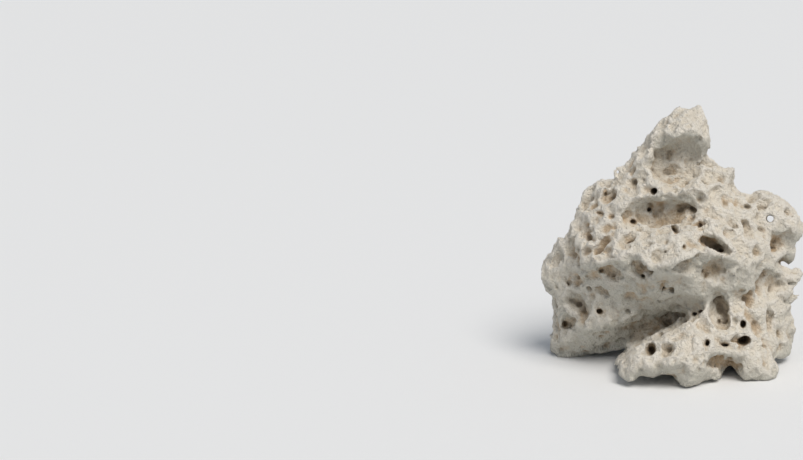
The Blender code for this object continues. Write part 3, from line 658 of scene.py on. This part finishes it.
# %% Hollows
HOLLOWS = (
    (0, "apex hollow", 2, 85, 28, 26, 11, 30, 1.5),
    (0, "scar beside it", -16, 105, 8, 11, 5, -20, 1.4),
    (0, "inner pit", 4, 89, 5, 7, 6, 15, 1),
    (0, "flare of the round bore", -29, 59, 10, 6, 6, -25, 1.3),
    (0, "wide brow hollow", -5, 32, 30, 13, 9, 4, 1.4),
    (0, "eye", 45, 2, 16, 8, 30, -25, 1),
    (0, "cup under the eye", 42, -22, 15, 14, 18, 0, 1),
    (0, "cup left of it", 16, -21, 13, 11, 12, 0, 1.1),
    (0, "groove over the cups", 28, -12, 20, 6, 4, 12, 1.3),
    (0, "tall hollow", 44, -63, 10, 16, 22, 4, 1),
    (0, "long recess", -10, -75, 46, 10, 9, 20, 1.4),
    (0, "cavity in the foot", -5, -103, 6, 8, 7, 0, 1),
    (0, "notch beside the arch", 44, -113, 12, 6, 10, 30, 1),
    (0, "rough scoop", 93, -38, 17, 14, 6, 0, 1.4),
    (0, "gap under the ear", 113, -16, 8, 4, 24, 0, 1),
    (0, "shade under the ear", 102, 2, 12, 6, 10, 0, 1),
    (0, "cut on the shoulder", 76, 18, 12, 4, 5, -38, 1.2),
    (0, "cut over the eye", 40, 35, 14, 5, 4, -25, 1.3),
    (0, "flare beside the ear", 107, 23, 7, 6, 4, 0, 1.3),
    (0, "hook scoop", -63, 52, 9, 10, 5, 0, 1.4),
    (0, "pit on the left face", -41, 10, 6, 6, 6, 0, 1),
    (0, "long scoop", -70, 5, 6, 13, 6, -18, 1.2),
    (0, "scoop in the band", -63, -28, 14, 12, 11, -10, 1.1),
    (0, "scoop in the band 2", -32, -24, 14, 10, 12, 0, 1.1),
    (0, "cup in the ledge", -16, -9, 6, 7, 6, 0, 1),
    (0, "low scoop in the band", -74, -45, 9, 6, 5, 15, 1.2),
    (0, "ragged scoop", -60, -55, 9, 6, 7, -25, 1.2),
    (0, "lobe cavity", -104, -75, 10, 9, 13, 0, 1),
    (0, "lobe cavity 2", -88, -67, 7, 10, 20, 0, 1),
    (0, "arch over the lobe", -99, -56, 15, 9, 20, 0, 1),
    (0, "left edge scoop", -105, 1, 9, 10, 8, 0, 1.1),
    (0, "left edge scoop 2", -95, -12, 5, 10, 6, 0, 1),
    (0, "left edge crack", -105, -33, 4, 10, 6, 20, 1),
    (0, "slope scoop", -47, 65, 12, 8, 3, -40, 1.8),
    (0, "shoulder scoop", 52, 69, 8, 8, 5, 0, 1.2),
    (0, "foot scoop", 80, -75, 9, 8, 5, 0, 1.3),
    (0, "flank scoop", 98, -71, 9, 12, 6, 15, 1.3),
    (0, "flank scoop 2", 80, -51, 9, 9, 5, -30, 1.3),
    (0, "top scoop of the ear", 89, 43, 7, 5, 5, 0, 1.2),
    (0, "scoop under the brow", 25, 25, 10, 7, 4, -20, 1.4),
)

BACK_HOLLOWS = (
    (180, "high hollow", -8, 70, 22, 26, 12, 20, 1.6),
    (180, "broad hollow", 30, -10, 36, 26, 15, -15, 1.6),
    (180, "low hollow", -40, -58, 34, 22, 18, 12, 1.4),
    (180, "pocket", -62, 4, 15, 12, 16, 0, 1),
    (180, "pocket 2", 62, 30, 10, 13, 12, 20, 1),
    (180, "pocket 3", 12, 34, 12, 9, 12, -10, 1),
    (180, "foot hollow", 48, -92, 26, 14, 20, 0, 1.1),
    (180, "foot hollow 2", -22, -96, 18, 12, 18, 0, 1.1),
    (90, "hollow", 38, -30, 20, 18, 12, 10, 1.4),
    (90, "hollow 2", 20, 40, 14, 20, 8, -20, 1.5),
    (90, "low hollow", 20, -82, 20, 12, 14, 0, 1.2),
    (270, "hollow", -30, -6, 22, 20, 12, 0, 1.5),
    (270, "low hollow", -44, -66, 20, 18, 14, 10, 1.3),
    (270, "high hollow", -14, 62, 14, 20, 7, 15, 1.6),
)

# %% Carve the hollows
HOLLOW_BENDING = 1.0


def seen_hollow(side, across, above, width, height, depth, tilt, flatness):
    """The ball that wears a hollow at the place seen from this side."""
    eye, inward = line_of_sight(side, across, above)
    surface, _ = first_hit(eye, inward)
    _, _, up = viewpoint(side)
    up = (up - inward * up.dot(inward)).normalized()
    right = inward.cross(up)
    angle = math.radians(tilt)
    along = right * math.cos(angle) + up * math.sin(angle)
    over = up * math.cos(angle) - right * math.sin(angle)
    reach = depth * flatness
    return surface + inward * (depth - reach), (width, reach, height), (along, inward, over)


for side, _, *place in HOLLOWS + BACK_HOLLOWS:
    carve(STONE, seen_hollow(side, *place), HOLLOW_BENDING, WORN_RIM)
print(len(HOLLOWS + BACK_HOLLOWS), "hollows,", since_start())

# %% [markdown]
# ## Crumbs
#
# Where a face has broken or dissolved it is rough at every size down to a grain. Smooth
# random heights of three sizes are added to the distances. Each is folded at its middle
# value, which gives sharp little crests with round dips between them. A light blur then
# takes off the crests that are too thin to have lasted.

# %% Random heights
SPLINE_MARGIN = 2


def spline_weights(places, low, step, count):
    """Weights that read a lattice with a smooth curve through each row of its values."""
    base, share = cell_and_share(places, low, step, 1, count - 3)
    weights = np.zeros((len(places), count), np.float32)
    rows = np.arange(len(places))
    weights[rows, base - 1] = (1.0 - share) ** 3 / 6.0
    weights[rows, base] = (3.0 * share**3 - 6.0 * share**2 + 4.0) / 6.0
    weights[rows, base + 1] = (-3.0 * share**3 + 3.0 * share**2 + 3.0 * share + 1.0) / 6.0
    weights[rows, base + 2] = share**3 / 6.0
    return weights


def random_heights(field, step, seed):
    """Smooth random values at every cell, drawn on a lattice with this step."""
    low, counts = lattice_round(field, step, SPLINE_MARGIN)
    lattice = np.random.default_rng(seed).normal(0.0, 1.0, counts).astype(np.float32)
    weights = [spline_weights(field.axes[i], low[i], step, counts[i]) for i in range(3)]
    spread = spread_out(lattice, weights)
    return spread / spread.std()


# %% Crumbs on every face
CRUMBS = ((6.0, 1.1, 21), (3.0, 0.8, 22), (1.7, 0.5, 23))
CRUMB_FOLD = 0.8
BLUR_SHARE = 0.5

for step, height, seed in CRUMBS:
    STONE.cells -= height * (CRUMB_FOLD - np.abs(random_heights(STONE, step, seed)))
STONE.cells = (1.0 - BLUR_SHARE) * STONE.cells + BLUR_SHARE * blurred(STONE.cells, 1, 1)
print("crumbs of", [step for step, _, _ in CRUMBS], "mm,", since_start())

# %% [markdown]
# ## Pits
#
# Between the scallops the stone is peppered with small pits, one to four millimetres wide,
# where the cups of the coral's polyps have weathered open. They are pressed in at points
# of the surface itself, along its own slope, so they reach into the hollows too.

# %% Pits
PIT_COUNT = 2200
PIT_SEED = 11
PIT_SPREAD = 0.4
PIT_DRAWS = 6
PIT_RADII = (1.3, 4.5)
PITS_MOSTLY_SMALL = 2.6
PIT_CUTS = (0.35, 0.85)
PIT_LENGTHS = (0.8, 1.5)
PIT_WIDTHS = (0.7, 1.1)
PIT_BENDING = 0.5


def surface_points(field, chance, count, spread):
    """Points of the surface drawn at random, with their outward normals."""
    points, _, _ = field.surface()
    picked = points[chance.integers(0, len(points), count)] + chance.normal(0.0, spread, (count, 3))
    normals = slopes(field, field.cells, picked, field.step)
    normals /= np.linalg.norm(normals, axis=1)[:, None] + TINY
    depths = sample(field, field.cells, picked)
    return picked - normals * depths[:, None], normals


def carve_pits(field, count, seed):
    chance = np.random.default_rng(seed)
    places, normals = surface_points(field, chance, count, PIT_SPREAD)
    draws = chance.random((count, PIT_DRAWS))
    for place, normal, draw in zip(places, normals, draws):
        radius = pick(PIT_RADII, draw[0] ** PITS_MOSTLY_SMALL)
        cut = radius * pick(PIT_CUTS, draw[1])
        radii = (radius * pick(PIT_LENGTHS, draw[3]), radius, radius * pick(PIT_WIDTHS, draw[4]))
        middle = Vector(place) + Vector(normal) * (radius - cut)
        carve(field, (middle, radii, ball_axes(Vector(-normal), draw[2])), PIT_BENDING, CRISP_RIM)


carve_pits(STONE, PIT_COUNT, PIT_SEED)
print(PIT_COUNT, "pits,", since_start())

# %% [markdown]
# ## Borings
#
# Clams and worms bored the round holes. The mouth of a boring has worn to a shallow dish,
# and its wall isn't quite round, so each one is two balls: a wide flat one for the dish and
# a long one for the boring itself. Each row says from which side it shows, then its name,
# right, up, half width, half height, depth and tilt.

# %% Borings
BORES = (
    (0, "apex hook", 15, 99, 2.2, 3.4, 10, 20),
    (0, "apex dot", -7, 75, 2.6, 2.2, 10, 0),
    (0, "summit dot", -3, 120, 1.4, 1.4, 6, 0),
    (0, "round bore", -19, 56, 4.4, 4.4, 26, 0),
    (0, "brow bore", -21, 36, 3.6, 2.8, 16, 0),
    (0, "brow bore 2", -38, 26, 3.8, 2.8, 12, 0),
    (0, "slot", 3, 19, 3.6, 7, 22, 20),
    (0, "square bore", -83, 10, 3.8, 4.6, 16, 0),
    (0, "hook bore", -67, 55, 2.6, 4, 14, 0),
    (0, "band bore", -70, -24, 4.6, 3.4, 16, 0),
    (0, "band bore 2", -30, -30, 3, 2.6, 12, 0),
    (0, "lip bore", -72, -65, 3.2, 3.2, 14, 0),
    (0, "lobe bore", -107, -76, 4.4, 4.4, 16, 0),
    (0, "foot bore", -22, -103, 5.6, 6.4, 28, -15),
    (0, "heel bore", 71, -94, 6.4, 5.4, 24, 0),
    (0, "column bore", 70, -77, 3.6, 4.2, 18, 0),
    (0, "column bore 2", 34, -96, 3.2, 4.6, 16, 0),
    (0, "slit", 52, -97, 4.4, 2, 12, 0),
    (0, "recess bore", 28, -65, 3.2, 2.6, 12, 25),
    (0, "recess bore 2", 22, -68, 3, 2.4, 12, 25),
    (0, "recess bore 3", 9, -74, 2.6, 2, 10, 0),
    (0, "recess bore 4", -11, -88, 2.6, 3.2, 8, 0),
    (0, "notch bore", -11, -55, 4, 2, 6, 0),
    (0, "shoulder bore", 53, 44, 3.4, 5, 9, 0),
    (0, "shoulder bore 2", 75, 40, 4, 3, 9, 0),
    (0, "flank slit", 118, -36, 5, 2, 10, 0),
    (0, "left slit", -63, -9, 4.6, 1.8, 8, -30),
    (0, "left slit 2", -74, 34, 4, 1.8, 8, -30),
    (0, "ledge dot", 13, -1, 2.4, 2.4, 8, 0),
    (0, "ledge dot 2", -7, -5, 1.6, 1.6, 6, 0),
    (0, "eye bottom", 50, -3, 5, 3.4, 34, -25),
    (0, "tall hollow bottom", 45, -76, 3, 4, 26, 10),
    (0, "cup bottom", 34, -27, 2.5, 6, 14, -10),
    (0, "ragged bore", -59, -52, 2.4, 3.4, 10, 30),
    (0, "crack bore", -104, -37, 1.6, 4, 8, 25),
)

BACK_BORES = (
    (180, "bore", -20, 92, 4.2, 4.2, 22, 0),
    (180, "bore 2", 20, 58, 5, 4, 24, 0),
    (180, "bore 3", -34, 36, 3.6, 4.6, 20, 10),
    (180, "bore 4", 40, 2, 5.4, 5, 26, 0),
    (180, "bore 5", -14, -8, 4, 4, 22, 0),
    (180, "bore 6", -70, -28, 4.4, 3.6, 20, 0),
    (180, "bore 7", 78, -20, 4.6, 4.6, 22, 0),
    (180, "bore 8", 8, -44, 3.8, 5.2, 22, 0),
    (180, "bore 9", 60, -62, 5, 4.2, 24, 0),
    (180, "bore 10", -52, -74, 4, 4, 22, 0),
    (180, "bore 11", 88, 22, 3.6, 3.6, 16, 0),
    (90, "bore", 20, 4, 4.2, 4.2, 20, 0),
    (90, "bore 2", -12, -58, 4.8, 4, 22, 0),
    (90, "bore 3", 44, -62, 3.8, 3.8, 20, 0),
    (90, "bore 4", 8, 76, 3.6, 4.2, 16, 0),
    (270, "bore", -10, 24, 4.2, 4.2, 20, 0),
    (270, "bore 2", -52, -28, 5, 4.4, 24, 0),
    (270, "bore 3", -6, -48, 4, 4, 20, 0),
    (270, "bore 4", -28, 88, 3.6, 3.6, 14, 0),
)

# %% Carve the borings, and the hole that goes through the thin ear
BORE_BENDING = 0.5
DISH_WIDTH = 1.9
DISH_DEPTH = 0.7
THROUGH_HOLE = (97.0, 28.0, 4.0)
ROD_LENGTH = 90.0
ROD_BENDING = 0.05

for side, _, across, above, width, height, depth, tilt in BORES + BACK_BORES:
    dish = (DISH_WIDTH * width, DISH_WIDTH * height, DISH_DEPTH * min(width, height), tilt, 1.0)
    carve(STONE, seen_hollow(side, across, above, *dish), HOLLOW_BENDING, PLAIN_RIM)
    boring = (width, height, depth, tilt, 1.0)
    carve(STONE, seen_hollow(side, across, above, *boring), BORE_BENDING, CRISP_RIM)

across, above, radius = THROUGH_HOLE
rod = (radius, radius, ROD_LENGTH, 0.0, 1.0)
carve(STONE, seen_hollow(0.0, across, above, *rod), ROD_BENDING, CRISP_RIM)
print(len(BORES + BACK_BORES), "borings,", since_start())

# %% [markdown]
# ## The underside
#
# A rock like this stands on a few spots with light showing under it. Each hollow below is
# the upper half of a ball and all that lies under it: right, back, up, and three half
# sizes. Then the stone is cut level with the ground, so that it stands still.

# %% Carve the underside
UNDERSIDE = (
    (4, 0, -6, 84, 62, 24),
    (-44, -58, -6, 40, 38, 15),
    (56, -66, -8, 11, 40, 22),
    (-6, 80, -6, 26, 36, 16),
    (106, 14, -6, 36, 22, 18),
    (-64, 58, -6, 34, 26, 14),
    (-58, 26, -6, 26, 22, 14),
    (-112, -18, -6, 30, 20, 12),
)


def carve_underside(field, middle, radii):
    """Hollows the rock from below, with the upper half of a ball and all under it."""
    everywhere = (slice(None),) * 3
    x, y, z = bent_offsets(field, everywhere, middle, HOLLOW_BENDING)
    upper_half = depth_in_ball((x, y, np.maximum(z, 0.0)), radii)
    field.cells = blend_larger(field.cells, upper_half, WORN_RIM)


for x, y, z, *radii in UNDERSIDE:
    carve_underside(STONE, (x, y, z), radii)
STONE.cells = np.maximum(STONE.cells, -STONE.axes[2][None, None, :].astype(np.float32))
print(len(UNDERSIDE), "hollows below,", since_start())

# %% [markdown]
# ## The mesh
#
# The field's surface becomes a mesh of even squares. Crumbs that a carved ridge left
# floating would drop off a real stone, so only the largest body is kept.

# %% From the field to a mesh
BOX_MIDDLE = Vector((-1.127, -0.758, 0.0))


def body_of_each_point(count, ends):
    """For each point the lowest number among the points that it is joined to."""
    label = np.arange(count)
    while True:
        lowest = np.minimum(label[ends[:, 0]], label[ends[:, 1]])
        np.minimum.at(label, label[ends[:, 0]], lowest)
        np.minimum.at(label, label[ends[:, 1]], lowest)
        shorter = label[label]
        if np.array_equal(shorter, label) and np.array_equal(label[ends[:, 0]], label[ends[:, 1]]):
            return label
        label = shorter


def rock_mesh(field):
    points, triangles, quads = field.surface()
    halves = (quads[:, [0, 2, 1]], quads[:, [0, 3, 2]], triangles[:, ::-1])
    faces = np.concatenate(halves).astype(np.int64)
    body = body_of_each_point(len(points), np.concatenate([faces[:, [0, 1]], faces[:, [1, 2]]]))
    numbers, sizes = np.unique(body, return_counts=True)
    kept = body == numbers[np.argmax(sizes)]
    place = np.cumsum(kept) - 1
    faces = place[faces[kept[faces[:, 0]]]]
    mesh = bpy.data.meshes.new("rock")
    mesh.from_pydata(((points[kept] - np.array(BOX_MIDDLE)) * MM).tolist(), [], faces.tolist())
    mesh.update()
    return mesh


ROCK = add_object("rock", rock_mesh(STONE))
print("mesh", len(ROCK.data.vertices), "points,", since_start())

# %% [markdown]
# ## Writing node trees
#
# Both the material and the grain are node trees. With the small class below a tree is
# written as the sum that it is, and one call adds any node that isn't plain arithmetic.


# %% Nodes and sums of nodes
class Value:
    """A socket of a node tree that can be added, multiplied and divided like a number."""

    def __init__(self, tree, socket):
        self.tree = tree
        self.socket = socket

    def math(self, operation, *values):
        return add_node(self.tree, "ShaderNodeMath", {"operation": operation}, dict(enumerate(values)))

    def __add__(self, other):
        return self.math("ADD", self, other)

    def __radd__(self, other):
        return self.math("ADD", other, self)

    def __sub__(self, other):
        return self.math("SUBTRACT", self, other)

    def __rsub__(self, other):
        return self.math("SUBTRACT", other, self)

    def __mul__(self, other):
        return self.math("MULTIPLY", self, other)

    def __rmul__(self, other):
        return self.math("MULTIPLY", other, self)

    def __truediv__(self, other):
        return self.math("DIVIDE", self, other)

    def __rtruediv__(self, other):
        return self.math("DIVIDE", other, self)

    def __abs__(self):
        return self.math("ABSOLUTE", self)

    def between(self, low, high):
        """0 below low, 1 above high, and smooth from one to the other."""
        values = dict(enumerate((self, low, high, 0.0, 1.0)))
        return add_node(self.tree, "ShaderNodeMapRange", {"interpolation_type": "SMOOTHSTEP"}, values)


def feed(tree, slot, value):
    """Gives an input either a link or a constant."""
    if isinstance(value, Value):
        tree.links.new(value.socket, slot)
    else:
        slot.default_value = value


def add_node(tree, kind, settings, inputs, output=0):
    """Adds a node from its type, its settings and its inputs, and gives one of its outputs."""
    node = tree.nodes.new(kind)
    for name, value in settings.items():
        setattr(node, name, value)
    for name, value in inputs.items():
        feed(tree, node.inputs[name], value)
    return Value(tree, node.outputs[output]) if node.outputs else None


def noise_at(tree, place, size, detail, roughness):
    """Noise from 0 to 1 at a place in metres, with features of this size in millimetres."""
    inputs = {"Vector": place, "Scale": (1.0 / MM) / size, "Detail": detail, "Roughness": roughness}
    return add_node(tree, "ShaderNodeTexNoise", {}, inputs)


# %% [markdown]
# ## The limestone
#
# Weathered coral limestone is cream. Light and shade are painted into its colour: faces that
# turn up are a lighter cream, and its undersides carry a painted grey shade. The hollows hold
# a tan film, partly a real stain and partly painted shade, with orange-brown where iron
# stains them, and a boring is painted nearly black at its bottom as painted shade. A picture
# of stone would slide over the shape, so the colours follow the relief: three measures that
# are kept on the mesh say where it is wide hollow, where it is a small deep one, and where
# it faces up. It is quite matte.

# %% A new material
def new_material(name):
    """A material with nodes, and its surface shader."""
    material = bpy.data.materials.new(name)
    material.use_nodes = True
    return material, material.node_tree.nodes["Principled BSDF"]


# %% The colours of the limestone
# Painted light and shade: a painted grey shade for undersides and a lighter cream for faces that turn up.
PAINTED_UNDERSIDE_SHADE = (0.67, 0.64, 0.555, 1.0)
LIT_TOP_CREAM = (0.86, 0.785, 0.665, 1.0)
# Tan film of the hollows: partly a real stain, partly painted shade.
TAN_FILM_AND_SHADE = (0.60, 0.475, 0.33, 1.0)
IRON_STAIN = (0.52, 0.34, 0.17, 1.0)
WHITE_DUST = (0.92, 0.87, 0.785, 1.0)
BROWN_SPECK = (0.42, 0.35, 0.26, 1.0)
# Painted shade: nearly black at the bottom of borings and small deep pockets.
PAINTED_BORING_SHADE = (0.10, 0.075, 0.05, 1.0)


def mixed(share, first, second):
    """The first colour with this share of the second."""
    return add_node(share.tree, "ShaderNodeMix", {"data_type": "RGBA"}, {0: share, 6: first, 7: second}, 2)


def limestone_colour(tree, patch, fleck, speck):
    """The colour from the measures on the mesh and from three sizes of noise."""
    wide, small, upward = (
        add_node(tree, "ShaderNodeAttribute", {"attribute_name": name}, {}, "Fac")
        for name in ("wide_hollow", "small_hollow", "facing_up")
    )
    # Painted light and shade: the share of lighter cream grows as a face turns up; it also says where dust
    # lies.
    painted_light_and_dust_share = upward.between(-0.6, 0.6)
    # Tan in the wide hollows, partly a real stain and partly painted shade.
    film_and_painted_shade = (wide * 3.4 - 1.68 + (patch - 0.5) * 1.7 + (fleck - 0.5) * 1.1).between(0.0, 1.0)
    iron = (patch * 1.4 + fleck * 0.9 - 1.08).between(0.0, 0.35) * wide.between(0.44, 0.58)
    # Painted shade: dark where a small deep pocket lies in a wide hollow.
    shade = (small * 2.6 + wide * 1.2 - 2.25).between(0.0, 0.9)
    dust = (0.5 - small).between(0.0, 0.14) * painted_light_and_dust_share
    # Painted grey shade on undersides, painted light cream on faces that turn up.
    colour = mixed(painted_light_and_dust_share, PAINTED_UNDERSIDE_SHADE, LIT_TOP_CREAM)
    colour = mixed(film_and_painted_shade * 0.75, colour, TAN_FILM_AND_SHADE)
    colour = mixed(iron * 0.55, colour, IRON_STAIN)
    colour = mixed(dust * 0.6, colour, WHITE_DUST)
    colour = mixed((speck - 0.5).between(0.03, 0.25) * 0.4, colour, BROWN_SPECK)
    # Painted shade at the bottom of borings and small deep pockets.
    return mixed(shade * 0.8, colour, PAINTED_BORING_SHADE)


# %% Material
PATCH_SIZE = 45.0
FLECK_SIZE = 7.0
SPECK_SIZE = 2.2
CREST_SIZE = 6.0
POWDER_SIZE = 2.6
RELIEF = 2.3
STONE_GLOSS = 0.3


def limestone():
    material, surface = new_material("dry coral limestone")
    tree = material.node_tree
    place = add_node(tree, "ShaderNodeTexCoord", {}, {}, "Object")
    patch = noise_at(tree, place, PATCH_SIZE, 3.0, 0.55)
    fleck = noise_at(tree, place, FLECK_SIZE, 4.0, 0.65)
    speck = noise_at(tree, place, SPECK_SIZE, 2.0, 0.6)
    feed(tree, surface.inputs["Base Color"], limestone_colour(tree, patch, fleck, speck))
    feed(tree, surface.inputs["Roughness"], 0.88 + (fleck - 0.5) * 0.12)
    surface.inputs["Specular IOR Level"].default_value = STONE_GLOSS
    crests = 1.0 - abs(noise_at(tree, place, CREST_SIZE, 3.0, 0.6) - 0.5) * 5.0
    height = noise_at(tree, place, POWDER_SIZE, 4.0, 0.7) * 1.1 + crests * 0.7
    relief = {"Height": height, "Strength": 1.0, "Distance": RELIEF * MM}
    feed(tree, surface.inputs["Normal"], add_node(tree, "ShaderNodeBump", {}, relief))
    return material


LIMESTONE = limestone()
print("material", LIMESTONE.name, "with", len(LIMESTONE.node_tree.nodes), "nodes")

# %% [markdown]
# ## Crumbly grain
#
# The finest relief is a rule rather than a list: at every point the stone stands out or
# in by a little, by a fine noise and by a coarser one that is folded into wrinkles. A
# small tree of Geometry Nodes does it, with the sizes as inputs.

# %% The grain as a modifier
GRAIN_SIZES = {"Grain height": 0.5, "Grain size": 3.4, "Wrinkle height": 0.6, "Wrinkle size": 8.0}


def add_sockets(tree, names):
    """Gives the tree its inputs and output, and says by which identifier each size is set."""
    tree.interface.new_socket("Geometry", in_out="INPUT", socket_type="NodeSocketGeometry")
    tree.interface.new_socket("Geometry", in_out="OUTPUT", socket_type="NodeSocketGeometry")
    identifiers = {}
    for name in names:
        socket = tree.interface.new_socket(name, in_out="INPUT", socket_type="NodeSocketFloat")
        identifiers[name] = socket.identifier
    return identifiers


def fill_grain_tree(tree, material):
    given = {name: add_node(tree, "NodeGroupInput", {}, {}, name) for name in ("Geometry", *GRAIN_SIZES)}
    place = add_node(tree, "GeometryNodeInputPosition", {}, {})
    normal = add_node(tree, "GeometryNodeInputNormal", {}, {})
    grain = noise_at(tree, place, given["Grain size"], 3.0, 0.6) - 0.5
    wrinkles = 0.25 - abs(noise_at(tree, place, given["Wrinkle size"], 2.0, 0.5) - 0.5) * 4.0
    height = grain * given["Grain height"] * 2.0 + wrinkles * given["Wrinkle height"]
    outward = {"Vector": normal, "Scale": height * MM}
    push = add_node(tree, "ShaderNodeVectorMath", {"operation": "SCALE"}, outward)
    moved = add_node(tree, "GeometryNodeSetPosition", {}, {"Geometry": given["Geometry"], "Offset": push})
    whole = add_node(tree, "GeometryNodeRealizeInstances", {}, {"Geometry": moved})
    dressed = add_node(tree, "GeometryNodeSetMaterial", {}, {"Geometry": whole, "Material": material})
    add_node(tree, "NodeGroupOutput", {}, {"Geometry": dressed})


def add_grain(obj, material):
    tree = bpy.data.node_groups.new("crumbly grain", "GeometryNodeTree")
    identifiers = add_sockets(tree, GRAIN_SIZES)
    fill_grain_tree(tree, material)
    grain = obj.modifiers.new("crumbly grain", "NODES")
    grain.node_group = tree
    for name, value in GRAIN_SIZES.items():
        grain[identifiers[name]] = value


# %% The fine surface as one mesh
FACE_LIMIT = 190000


def triangle_count(mesh):
    return sum(len(polygon.vertices) - 2 for polygon in mesh.polygons)


add_grain(ROCK, LIMESTONE)
thin = ROCK.modifiers.new("fewer faces", "DECIMATE")
thin.ratio = min(1.0, FACE_LIMIT / triangle_count(ROCK.data))
SURFACE = settled(ROCK)
LOWEST = min(vertex.co.z for vertex in SURFACE.vertices)
for vertex in SURFACE.vertices:
    vertex.co.z = max(vertex.co.z, 0.0)
print("triangles", triangle_count(SURFACE), "lowest before it was levelled %.2f mm" % (LOWEST / MM))

# %% [markdown]
# ## How deep each point lies
#
# A shallow hollow gets a tan film, partly a real stain and partly painted shade, and a
# boring gets painted shade, dark at its bottom. How much stone surrounds a point, near by
# and further off, tells the two apart. So it is measured once and kept on the mesh for the
# material to read, and so is how far the stone faces up, which sets the painted light on
# its tops and the painted shade on its undersides.

# %% Measures kept on the mesh
WIDE_REACH = 5
SMALL_REACH = 2
SLOPE_REACH = 3
BLUR_ROUNDS = 3
SLOPE_LIMIT = 6.0


def keep(mesh, name, values):
    """Stores one number for each point of the mesh."""
    attribute = mesh.attributes.new(name, "FLOAT", "POINT")
    attribute.data.foreach_set("value", values.astype(np.float32))
    print(name, np.round(np.percentile(values, (5, 25, 50, 75, 95)), 3))


def stone_around(field, places, reach):
    """How much stone surrounds each place: 0 in the open, 1 in a deep pocket."""
    solid = np.clip(0.5 - field.cells / (2.0 * field.step), 0.0, 1.0).astype(np.float32)
    return sample(field, blurred(solid, reach, BLUR_ROUNDS), places)


def upwardness(field, places, reach):
    """How far the surface round each place faces up: minus 1 is an underside, 1 a top."""
    smooth = blurred(np.clip(field.cells, -SLOPE_LIMIT, SLOPE_LIMIT), reach, BLUR_ROUNDS)
    growth = slopes(field, smooth, places, 2.0 * field.step)
    return growth[:, 2] / (np.linalg.norm(growth, axis=1) + TINY)


PLACES = np.array([tuple(vertex.co) for vertex in SURFACE.vertices]) / MM + np.array(BOX_MIDDLE)
keep(SURFACE, "wide_hollow", stone_around(STONE, PLACES, WIDE_REACH))
keep(SURFACE, "small_hollow", stone_around(STONE, PLACES, SMALL_REACH))
keep(SURFACE, "facing_up", upwardness(STONE, PLACES, SLOPE_REACH))

# %% [markdown]
# ## The rock in its place
#
# The fine mesh stands for the solid, which stays in the frame for collision.

# %% Place the rock
SURFACE.shade_smooth()
SURFACE.name = "reef_rock_surface"
ROCK = add_object("reef_rock_surface", SURFACE)
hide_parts("reef_rock")
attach(ROCK, "root")
print("materials", [material.name for material in SURFACE.materials], since_start())

# %% [markdown]
# ## Floor
#
# The rock stands on a plain pale floor, wide enough to fill the view from any side.

# %% Floor
FLOOR_HALF = 20.0
PALE = (0.86, 0.86, 0.86, 1.0)
FLOOR_ROUGHNESS = 0.9


def pale_material():
    material, surface = new_material("pale floor")
    surface.inputs["Base Color"].default_value = PALE
    surface.inputs["Roughness"].default_value = FLOOR_ROUGHNESS
    return material


def add_floor(half):
    mesh = bpy.data.meshes.new("floor")
    corners = [(-half, -half, 0.0), (half, -half, 0.0), (half, half, 0.0), (-half, half, 0.0)]
    mesh.from_pydata(corners, [], [(0, 1, 2, 3)])
    mesh.materials.append(pale_material())
    return add_object("floor", mesh)


FLOOR = add_floor(FLOOR_HALF)
FLOOR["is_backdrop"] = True
print("floor", 2.0 * FLOOR_HALF, "m wide")

# %% [markdown]
# ## Light
#
# The light is soft and comes from above and from the front right, as under a bright
# overcast sky: a wide warm patch of light, and a cooler, weaker one from all round.

# %% Light
SKY_COLOUR = (0.81, 0.89, 1.0, 1.0)
SKY_STRENGTH = 0.335
PATCH_TOWARDS = Vector((0.34, -0.44, 0.85))
PATCH_WIDTH = 34.0
PATCH_STRENGTH = 2.38
PATCH_COLOUR = (1.0, 0.965, 0.915)


def add_bright_patch():
    data = bpy.data.lights.new("bright sky", "SUN")
    data.angle = math.radians(PATCH_WIDTH)
    data.energy = PATCH_STRENGTH
    data.color = PATCH_COLOUR
    lamp = add_object("bright sky", data)
    lamp.rotation_mode = "QUATERNION"
    lamp.rotation_quaternion = PATCH_TOWARDS.to_track_quat("Z", "Y")


def add_sky():
    world = bpy.data.worlds.new("overcast")
    world.use_nodes = True
    background = world.node_tree.nodes["Background"]
    background.inputs["Color"].default_value = SKY_COLOUR
    background.inputs["Strength"].default_value = SKY_STRENGTH
    bpy.context.scene.world = world


add_sky()
add_bright_patch()
bpy.context.scene.view_settings.view_transform = "Standard"
print("lit from", [round(value, 2) for value in PATCH_TOWARDS])

# %% [markdown]
# ## Camera
#
# The camera stands where the eye of the line of sight is, 14 degrees above the level. It
# is turned so that the rock stands right of the middle of the picture and a little low.

# %% Camera
LENS = 85.0
SENSOR_WIDTH = 36.0
PICTURE_WIDTH = 803.0
PICTURE_HEIGHT = 460.0
MIDDLE_U = 672.0
MIDDLE_V = 247.0
FARTHEST_SEEN = 60.0


def add_camera():
    data = bpy.data.cameras.new("camera")
    data.lens = LENS
    data.sensor_width = SENSOR_WIDTH
    data.clip_end = FARTHEST_SEEN
    camera = add_object("camera", data)
    focal = PICTURE_WIDTH * LENS / SENSOR_WIDTH
    turn = math.atan((MIDDLE_U - PICTURE_WIDTH / 2.0) / focal)
    lift = math.atan((MIDDLE_V - PICTURE_HEIGHT / 2.0) / focal * math.cos(turn))
    eye, right, up = viewpoint(0.0)
    level = Matrix((right, up, (eye - MIDDLE).normalized())).transposed()
    facing = level @ Matrix.Rotation(turn, 3, "Y") @ Matrix.Rotation(lift, 3, "X")
    camera.matrix_world = Matrix.Translation((eye - BOX_MIDDLE) * MM) @ facing.to_4x4()
    return camera


CAMERA = add_camera()
bpy.context.scene.camera = CAMERA
print("camera at", [round(value, 3) for value in CAMERA.matrix_world.translation])

# %% [markdown]
# ## The rock's box against the solid's
#
# The fine surface has to fill the same box as the solid, so both boxes are written down.

# %% Write both boxes
BOXES = [[[float(value) for value in corner] for corner in box] for box in (CAD_BOX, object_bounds())]
print(BOXES, since_start())
